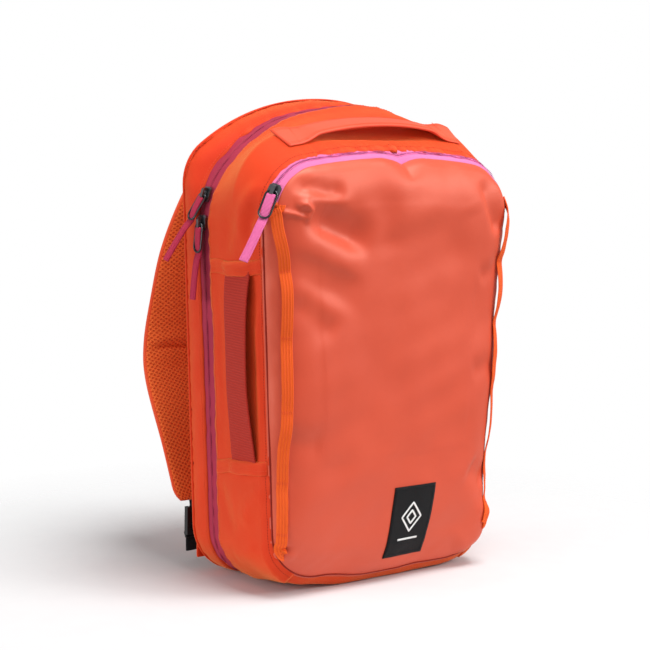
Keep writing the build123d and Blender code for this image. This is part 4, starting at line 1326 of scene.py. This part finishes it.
# ---------------------------------------------------------------- sliders and pullers
def puller_frame(name):
    """The puller's middle, its direction down, across and outward, read from its ring."""
    ring = np.array([v.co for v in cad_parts[f"{name}_ring"].data.vertices]) / MM
    tail = np.array([v.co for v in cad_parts[f"{name}_ribbon"].data.vertices]) / MM
    _, vectors = np.linalg.eigh(np.cov((ring - ring.mean(0)).T))
    down, across, out = vectors[:, 2], vectors[:, 1], vectors[:, 0]
    middle = ring.mean(0)
    down = down * np.sign((tail.mean(0) - middle) @ down)
    body = np.array([v.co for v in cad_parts[name].data.vertices]).mean(0) / MM
    out = out * np.sign((middle - body) @ out)
    return middle, down, across, out


# A ribbon from its fold to its end: distance along, distance out and thickness.
RIBBON = ((-9.0, 0.3, 2.0), (-8.0, 0.6, 3.0), (-3.0, 0.5, 2.8), (4.0, 0.0, 2.6), (10.0, -1.2, 2.5),
          (13.0, -2.0, 2.4), (16.5, -1.6, 2.5), (22.0, -0.4, 2.3), (34.0, 0.4, 2.1), (46.0, 0.9, 2.1),
          (53.0, 1.2, 2.1), (56.0, 1.3, 1.7))


def make_puller(name, body, slot_name, material, drift, curl):
    """The doubled ribbon through the ring: drift bends its tail sideways and curl lifts its end."""
    middle, down, across, out = puller_frame(name)
    line, thick = [], []
    for along, lift, deep in RIBBON:
        bend = max(along - 16.0, 0.0) / 40.0
        line.append(middle + down * along + out * (lift + curl * bend ** 2) + across * drift * bend ** 2)
        thick.append(deep)
    line = soft_line(line, 60)
    thick = np.interp(np.linspace(0, 1, 61), np.linspace(0, 1, len(thick)), thick)
    way = unit(np.gradient(line, axis=0))
    sideways = unit(across[None] - way * (way @ across)[:, None])
    outward = np.cross(way, sideways)
    outward = outward * np.sign(outward @ out)[:, None]
    ribbon = strip(f"{name}_ribbon_webbing", line, sideways, outward, 8.2, thick, square=4.0, steps=16)
    finish(ribbon, body, slot_name, material, f"{name}_ribbon")
    part = slice(22, 58)
    rows = edge_rows(line[part], sideways[part], outward[part], np.full(36, 8.2), thick[part], 1.5)
    stitches(f"{name}_ribbon_stitches", rows, body, slot_name, material, pitch=2.2, length=1.6, radius=0.2)


def round_cad(node, width):
    """Softens a CAD part's edges for the eye, without touching its mesh."""
    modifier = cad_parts[node].modifiers.new("edges", "BEVEL")
    modifier.width = width * MM
    modifier.segments = 2
    modifier.limit_method = "ANGLE"
    modifier.angle_limit = math.radians(35)
    modifier.harden_normals = False


def paint_cad(node, material):
    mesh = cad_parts[node].data
    mesh.materials.clear()
    mesh.materials.append(material)
    mesh.polygons.foreach_set("use_smooth", [True] * len(mesh.polygons))
    if "sharp_face" in mesh.attributes:
        mesh.attributes.remove(mesh.attributes["sharp_face"])


def make_hardware():
    for name, body, slot_name, material, drift, curl in (
        ("main_slider_upper", "upper_puller", "main_ribbon", M["ribbon"], -3.0, 1.0),
        ("main_slider_lower", "lower_puller", "main_ribbon", M["ribbon"], 2.0, 0.0),
        ("pocket_slider", "pocket_puller", "pocket_ribbon", M["pocket_ribbon"], -2.0, 0.5),
    ):
        paint_cad(name, M["metal"])
        round_cad(name, 0.45)
        paint_cad(f"{name}_ring", M["metal"])
        make_puller(name, body, slot_name, material, drift, curl)
    for side in ("left", "right"):
        paint_cad(f"ladderlock_{side}", M["plastic"])
        round_cad(f"ladderlock_{side}", 0.5)


# ---------------------------------------------------------------- shoulder straps
STRAP = (
    (44.0, 79.0, 391.0, 58.0, 8.0), (49.0, 103.0, 389.0, 62.0, 10.0), (56.0, 121.0, 372.0, 66.0, 12.0),
    (65.0, 136.0, 340.0, 69.0, 12.0), (74.0, 151.0, 295.0, 70.0, 12.0), (79.0, 160.0, 250.0, 70.0, 12.0),
    (83.0, 166.0, 204.0, 70.0, 12.0), (86.0, 157.0, 168.0, 70.0, 12.0), (92.0, 120.0, 112.0, 67.0, 11.0),
    (98.0, 96.0, 62.0, 56.0, 8.0),
)


def make_strap(side, sign):
    body = f"strap_{side}"
    table = soft_line([(x, y, z) for x, y, z, _, _ in STRAP], 130)
    sizes = soft_line([(w, t, 0) for _, _, _, w, t in STRAP], 130)
    table[:, 0] *= sign
    width, thick = sizes[:, 0], sizes[:, 1] + 1.6
    thick[:3] *= (0.5, 0.8, 0.95)
    thick[-4:] *= (0.97, 0.9, 0.75, 0.45)
    width[-4:] *= (0.99, 0.96, 0.9, 0.8)
    way = unit(np.gradient(table * np.array([0.0, 1.0, 1.0]), axis=0))
    out = np.stack([np.zeros(len(table)), -way[:, 2], way[:, 1]], 1)
    across = np.repeat([[1.0, 0.0, 0.0]], len(table), 0)
    steps = 44
    t = np.linspace(0, 2 * math.pi, steps, endpoint=False) + math.pi / steps
    cx = np.sign(np.cos(t)) * np.abs(np.cos(t)) ** (2 / 2.6)
    cy = np.sign(np.sin(t)) * np.abs(np.sin(t)) ** (2 / 2.3)
    g = table[None] + cx[:, None, None] * (across * width[:, None] / 2)[None]
    g = g + cy[:, None, None] * (out * thick[:, None] / 2)[None]
    inner = np.clip(-cy, 0, 1)[:, None]
    z = g[..., 2]
    flat = np.stack([g[..., 0] * sign, z], -1)
    crease = fold(flat, [(40, 197), (70, 200), (96, 202), (118, 197)], 3.0, -4.4, 0.0, ends=0.3)
    crease += fold(flat, [(44, 206), (80, 208), (118, 205)], 9.0, 2.6, 0.0)
    crease += fold(flat, [(50, 190), (82, 191), (118, 188)], 7.0, 1.2, 0.0)
    crease += 0.5 * ripple(g, 80.0, 61 + (sign > 0))
    rim = smooth(np.abs(cx), 0.80, 0.90)[:, None] * 0.35
    g = g - out[None] * (inner * (crease + rim))[..., None]
    pad = grid_object(f"strap_{side}_pad", g, closed_v=True, caps=True)
    held = smooth(np.abs(cx), 0.86, 0.97)[:, None] * np.ones(g.shape[1])
    held = np.maximum(held, ((cy > 0) * (1 - smooth(np.abs(cx), 0.26, 0.34)))[:, None])
    held[:, :8] = 1.0
    held[:, -10:] = 1.0
    puff(pad, held.reshape(-1), 4.0, 1.8)
    finish(pad, body, "air_mesh", M["air_mesh"], f"strap_pad_{side}", f"strap_mesh_{side}",
           f"strap_face_{side}")
    pad.data.materials.append(M["shell"])
    pad.data.materials.append(M["edge"])
    columns = g.shape[1] - 1
    index = np.zeros(len(pad.data.polygons), int)
    ring = np.repeat(np.arange(steps), columns)
    middle = t[ring] + math.pi / steps
    index[: len(ring)] = np.where(np.sin(middle) > 0.05, 1, np.where(np.abs(np.cos(middle)) > 0.93, 2, 0))
    pad.data.polygons.foreach_set("material_index", index)
    part = slice(38, 127)
    line = table[part] + out[part] * (thick[part] / 2 + 0.9)[:, None]
    webbing = strip(f"strap_{side}_webbing", line, across[part], out[part], 20.0, 1.6, square=5.0, steps=16)
    finish(webbing, body, "strap_webbing_black", M["black_web"], f"strap_webbing_{side}")
    x = sign * STRAP[-1][0]
    bar_y, bar_z = 99.0, box_mm(f"ladderlock_{side}")[1][2] - 1.6
    turn = np.linspace(math.radians(60), math.radians(-240), 26)
    around = [(x, bar_y + 2.6 * math.cos(a), bar_z + 2.6 * math.sin(a)) for a in turn]
    route = [(x, 103.5, 72.0), (x, 102.6, 64.0), *around, (x, 98.6, 60.0), (x, 98.2, 66.0)]
    route = soft_line(route, 70)
    loop_web = level_strip(f"strap_{side}_buckle_loop", route, 18.0, 1.4, 12)
    finish(loop_web, body, "strap_webbing_black", M["black_web"])
    rows = []
    for edge in (-1, 1):
        rows.append((table[4:124] + across[4:124] * edge * (width[4:124, None] / 2 - 5.5)
                     + out[4:124] * (thick[4:124, None] / 2 * 0.93), out[4:124]))
        rows.append((line + across[part] * edge * 8.0 + out[part] * 0.8, out[part]))
    stitches(f"strap_{side}_stitches", rows, body, "shell_fabric", M["thread"], pitch=3.4, length=2.4,
             radius=0.26)


def make_adjusters(side, sign):
    low, high = box_mm(f"webbing_tail_{side}")
    x, y = (low[0] + high[0]) / 2, (low[1] + high[1]) / 2
    z = np.linspace(high[2] + 8, low[2] + 0.6, 40)
    route = np.stack([np.full(40, x) + sign * 1.2 * (z - high[2]) / 30,
                      y + 0.9 - 5.4 * smooth(z, high[2] - 6, high[2] + 8) + 0.5 * np.sin(z / 9.0), z], 1)
    across, out = frames_along(route, np.repeat([[0.0, 1.0, 0.0]], 40, 0))
    thick = np.where(z < low[2] + 12, 2.9, 1.6)
    tail = strip(f"webbing_tail_{side}_webbing", route, across, out, 19.0, thick, square=5.0, steps=14)
    finish(tail, f"ladderlock_{side}", "strap_webbing_black", M["black_web"], f"webbing_tail_{side}")
    low, high = box_mm(f"adjust_webbing_{side}")
    lock_low, lock_high = box_mm(f"ladderlock_{side}")
    wing_low, wing_high = box_mm(f"anchor_wing_{side}")
    end_x = (lock_low[0] + lock_high[0]) / 2
    start_x = sign * 104.0
    route = soft_line([(start_x, wing_high[1] + 0.9, 15.0), (start_x, wing_high[1] + 1.6, 22.0),
                       ((start_x + end_x) / 2, 83.5, 27.0),
                       (end_x, 92.0, 34.0), (end_x, lock_low[1] + 0.3, 38.5),
                       (end_x, lock_high[1] - 1.5, 42.5)], 50)
    webbing = level_strip(f"adjust_webbing_{side}_webbing", route, 19.0, 1.5, 14)
    webbing.data.materials.append(M["black_web"])
    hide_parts(f"adjust_webbing_{side}")
    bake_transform(webbing)
    outer, inner = sorted((abs(wing_low[0]), abs(wing_high[0])))[::-1]
    rows = []
    for s in np.linspace(0, 1, 14):
        a = outer + (inner - outer) * s
        top = wing_high[2] - (wing_high[2] - wing_low[2] - 3) * (s ** 1.4)
        rows.append([(sign * a, wing_high[1] - 2.0 - 1.8 * (a - 84) / 40 + 0.5 * math.sin(k / 2),
                      wing_low[2] + (top - wing_low[2]) * k / 9) for k in range(10)])
    wing = grid_object(f"anchor_wing_{side}_cloth", np.array(rows), flip=sign > 0)
    solidify(wing, 2.2, offset=0.0)
    subdivide(wing)
    finish(wing, "rear_half", "shell_fabric", M["shell"], f"anchor_wing_{side}")


def sheet_grid(x0, x1, z0, z1, y, columns, rows, seed, wave=0.5, corner=0.0):
    """A nearly flat cloth at that depth, slightly rumpled, with rounded lower corners."""
    x, z = np.linspace(x0, x1, columns), np.linspace(z0, z1, rows)
    g = np.array([[(px, y, pz) for px in x] for pz in z])
    if corner:
        low = np.clip((z0 + corner - g[..., 2]) / corner, 0, 1)
        squeeze = corner * (1 - np.sqrt(np.clip(1 - low ** 2, 0, 1))) / max(abs(x0), abs(x1))
        g[..., 0] *= 1 - squeeze
    g[..., 1] += wave * ripple(g[..., [0, 2]], 70.0, seed)
    return g


def make_interior():
    rear = loop(REAR)
    normals = loop_normals(rear)
    rings = rings_at(rear, normals,
                     ((3.0, Y_REAR - 0.4), (4.5, Y_REAR - 2.0), (7.0, Y_REAR - 2.7), (12.0, Y_REAR - 2.8),
                      (30.0, Y_REAR - 2.8)))
    lining = rings_and_patch("back_lining_cloth", soften(rings), (0, 0.4, 0))
    finish(lining, "rear_half", "lining", M["lining"], "back_lining")
    rings = rings_at(rear, normals,
                     ((4.6, Y_REAR - 1.4), (4.2, Y_REAR - 1.1), (4.2, Y_REAR - 0.5), (4.8, Y_REAR - 0.2),
                      (16.0, Y_REAR - 0.2)))
    board = rings_and_patch("frame_sheet_board", rings, (0, 0.0, 0), flip=True)
    solidify(board, 1.1)
    finish(board, "rear_half", "frame_sheet", M["board"], "frame_sheet")
    bound = rings_at(rear, normals,
                     ((3.2, Y_REAR - 5.4), (6.0, Y_REAR - 4.8), (6.2, Y_REAR - 3.4), (5.8, Y_REAR - 2.4),
                      (3.2, Y_REAR - 1.6)))
    binding = grid_object("rear_binding_cloth", soften(bound), closed_u=True, flip=True)
    solidify(binding, 0.6, offset=0.0)
    finish(binding, "rear_half", "binding", M["black_web"], "rear_binding")
    seam, out = SEAM_LOOP, SEAM_NORMALS
    y = box_mm("pocket_divider")[1][1]
    rings = rings_at(seam, out, ((2.4, Y_SEAM + 1.0), (3.2, y - 1.2), (6.0, y), (14.0, y + 0.2),
                                 (30.0, y + 0.2)))
    divider = rings_and_patch("pocket_divider_cloth", soften(rings), (0, -0.3, 0), flip=True)
    points = read_points(divider)
    points[:, 1] += np.where(points[:, 1] > y - 0.5, -0.4 - 0.25 * ripple(points[:, [0, 2]], 80.0, 71), 0)
    write_points(divider, points)
    solidify(divider, 0.8)
    finish(divider, "front_half", "lining", M["lining"], "pocket_divider")
    low, high = box_mm("front_binding")
    bound = np.stack([at_y(loop_at(yy) - out * i, yy) for i,
                      yy in ((3.4, low[1] - 2), (5.6, low[1] - 0.6), (6.2, low[1] + 0.8), (5.4, high[1]),
                             (3.4, high[1] + 0.8))])
    binding = grid_object("front_binding_cloth", soften(bound), closed_u=True)
    solidify(binding, 0.6, offset=0.0)
    finish(binding, "front_half", "binding", M["black_web"], "front_binding")
    low, high = box_mm("inner_mesh_pocket")
    g = sheet_grid(low[0], high[0], low[2], high[2], low[1] + 0.5, 60, 70, 72, 0.5, 24)
    u, v = (g[..., 0] - low[0]) / (high[0] - low[0]), (g[..., 2] - low[2]) / (high[2] - low[2])
    g[..., 1] += 2.2 * np.sin(math.pi * u) * np.sin(math.pi * v) + 0.5
    pocket = grid_object("inner_mesh_pocket_cloth", g, flip=True)
    solidify(pocket, 0.7)
    finish(pocket, "front_half", "pocket_mesh", M["pocket_mesh"], "inner_mesh_pocket")
    low, high = box_mm("inner_pocket_zip")
    x = np.linspace(low[0], high[0], 80)
    shape = ((low[2], 0.4), (low[2] + 1.5, 1.4), (low[2] + 6.4, 1.5), (low[2] + 7.4, 2.2),
             (low[2] + 8.0, 1.2), (low[2] + 8.6, 2.2), (low[2] + 9.6, 1.5), (high[2] - 1.5, 1.4),
             (high[2], 0.4))
    g = np.array([[(px, low[1] + lift + 0.3 * math.sin(px / 15), pz) for px in x] for pz, lift in shape])
    tape = grid_object("inner_pocket_zip_cloth", g, flip=True)
    solidify(tape, 0.7)
    finish(tape, "front_half", "inner_zip", M["black_web"], "inner_pocket_zip")
    low, high = box_mm("laptop_sleeve")
    g = sheet_grid(low[0], high[0], low[2], high[2], low[1], 70, 90, 73, 0.4, 32)
    u = (g[..., 0] - low[0]) / (high[0] - low[0])
    v = (g[..., 2] - low[2]) / (high[2] - low[2])
    edge = smooth(np.minimum(u, 1 - u) * (high[0] - low[0]), 0, 9) * smooth(v * (high[2] - low[2]), 0, 9)
    g[..., 1] += (1 - edge) * (high[1] - low[1]
                               - 4) - 1.2 * edge * np.sin(math.pi * u) * np.sin(math.pi * v)
    quilt = np.exp(-((np.abs(u - 0.5) - 0.23) / 0.012) ** 2) * 1.2 * edge
    g[..., 1] += quilt
    sleeve = grid_object("laptop_sleeve_cloth", g)
    solidify(sleeve, 3.2)
    finish(sleeve, "rear_half", "lining", M["lining"], "laptop_sleeve")
    line = soft_line([(low[0] + 3, low[1] + 1.6, high[2] - 1), (-50, low[1] + 0.4, high[2]),
                      (50, low[1] + 0.4, high[2]), (high[0] - 3, low[1] + 1.6, high[2] - 1)], 60)
    hem = strip("laptop_sleeve_binding", line, np.repeat([[0.0, 1.0, 0.0]], 61, 0),
                np.repeat([[0.0, 0.0, 1.0]], 61, 0), 6.2, 7.0, square=3.5, steps=14)
    finish(hem, "rear_half", "binding", M["black_web"])
    low, high = box_mm("sleeve_strap")
    x = (low[0] + high[0]) / 2
    line = soft_line([(x, low[1] + 14, high[2] + 16), (x, low[1] + 3, high[2] + 4),
                      (x, low[1] - 1.2, high[2] - 18), (x, low[1] - 1.6, low[2])], 40)
    tab = level_strip("sleeve_strap_elastic", line, high[0] - low[0], 1.5, 14)
    finish(tab, "rear_half", "elastic", M["black_web"], "sleeve_strap")


def make_yoke(back_tree):
    low, high = box_mm("strap_yoke")
    x, z = np.linspace(low[0], high[0], 50), np.linspace(low[2], high[2], 16)
    g = np.array([[(px, 120.0, pz) for px in x] for pz in z])
    ground, normals = on_surface(back_tree, g, (0, -1, 0))
    g = ground + normals * 1.4
    g[..., 1] = np.maximum(g[..., 1], high[1] - 0.8)
    yoke = grid_object("strap_yoke_cloth", g, flip=True)
    solidify(yoke, 1.4)
    finish(yoke, "rear_half", "shell_fabric", M["shell"], "strap_yoke")
    inner = np.repeat([[0.0, 1.0, 0.0]], 46, 0)
    stitches("strap_yoke_stitches", [(g[2, 2:-2] + [0, 0.2, 0], inner), (g[-3, 2:-2] + [0, 0.2, 0], inner)],
             "rear_half", "shell_fabric", M["thread"])


def make_floor():
    radius, around = 14.0, 96
    rows = []
    for reach in (0.0, 0.4, 1.0, 2.0, 4.0, 8.0, radius):
        rows.append([(reach * math.cos(2 * math.pi * k / around),
                      reach * math.sin(2 * math.pi * k / around), 0.0) for k in range(around)])
    floor = grid_object("floor", np.array(rows[::-1]) / MM, closed_u=True)
    floor.data.materials.append(M["floor"])


# ---------------------------------------------------------------- putting it together
place_camera()
set_studio()
make_floor()

panel = make_front_panel()
panel_tree = surface_of(panel)
solidify(panel, 1.4)
finish(panel, "front_half", "coated_fabric", M["coated"], "front_panel")
front_band, front_rows = make_front_band()
front_tree = surface_of(front_band)
finish(front_band, "front_half", "shell_fabric", M["shell"], "front_gusset")
rear_band, rear_rows = make_rear_band()
finish(rear_band, "rear_half", "shell_fabric", M["shell"], "rear_gusset")
for skin in (front_band, rear_band, panel):
    skin.data.materials.append(M["lining"])
    skin.modifiers["thickness"].material_offset = 1
make_main_tapes()
make_bag_stitches(front_rows, rear_rows)
for half, coil_y in (("rear", Y_CHAIN + 2.0), ("front", Y_CHAIN - 2.0)):
    make_coil(f"main_zip_coil_{half}", *sewn_line(coil_y, -1.7), f"{half}_half", M["coil"],
              pitch=1.9, wide=1.0, deep=0.75, wire=0.62)
make_pocket_zip()
make_base()
back_pad = make_back()
make_yoke(surface_of(back_pad))
make_top_handle(front_tree)
make_side_handle(front_tree)
hem_rows = make_hem("handle_hem_upper", front_tree, 4.0,
                    0.0) + make_hem("handle_hem_lower", front_tree, 10.0, 2.0)
stitches("handle_hem_stitches", hem_rows, "front_half", "shell_fabric", M["thread"], pitch=2.8, length=2.0,
         radius=0.22)
chain_rows = make_daisy_chain("left", panel_tree) + make_daisy_chain("right", panel_tree)
bartacks = stitches("daisy_stitches", chain_rows, "front_half", "bartack_thread", M["thread"], pitch=2.0,
                 length=1.5, radius=0.2)
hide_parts("daisy_bartacks")
make_label(panel_tree)
make_hardware()
for side_name, side_sign in (("left", -1), ("right", 1)):
    make_strap(side_name, side_sign)
    make_adjusters(side_name, side_sign)
make_interior()
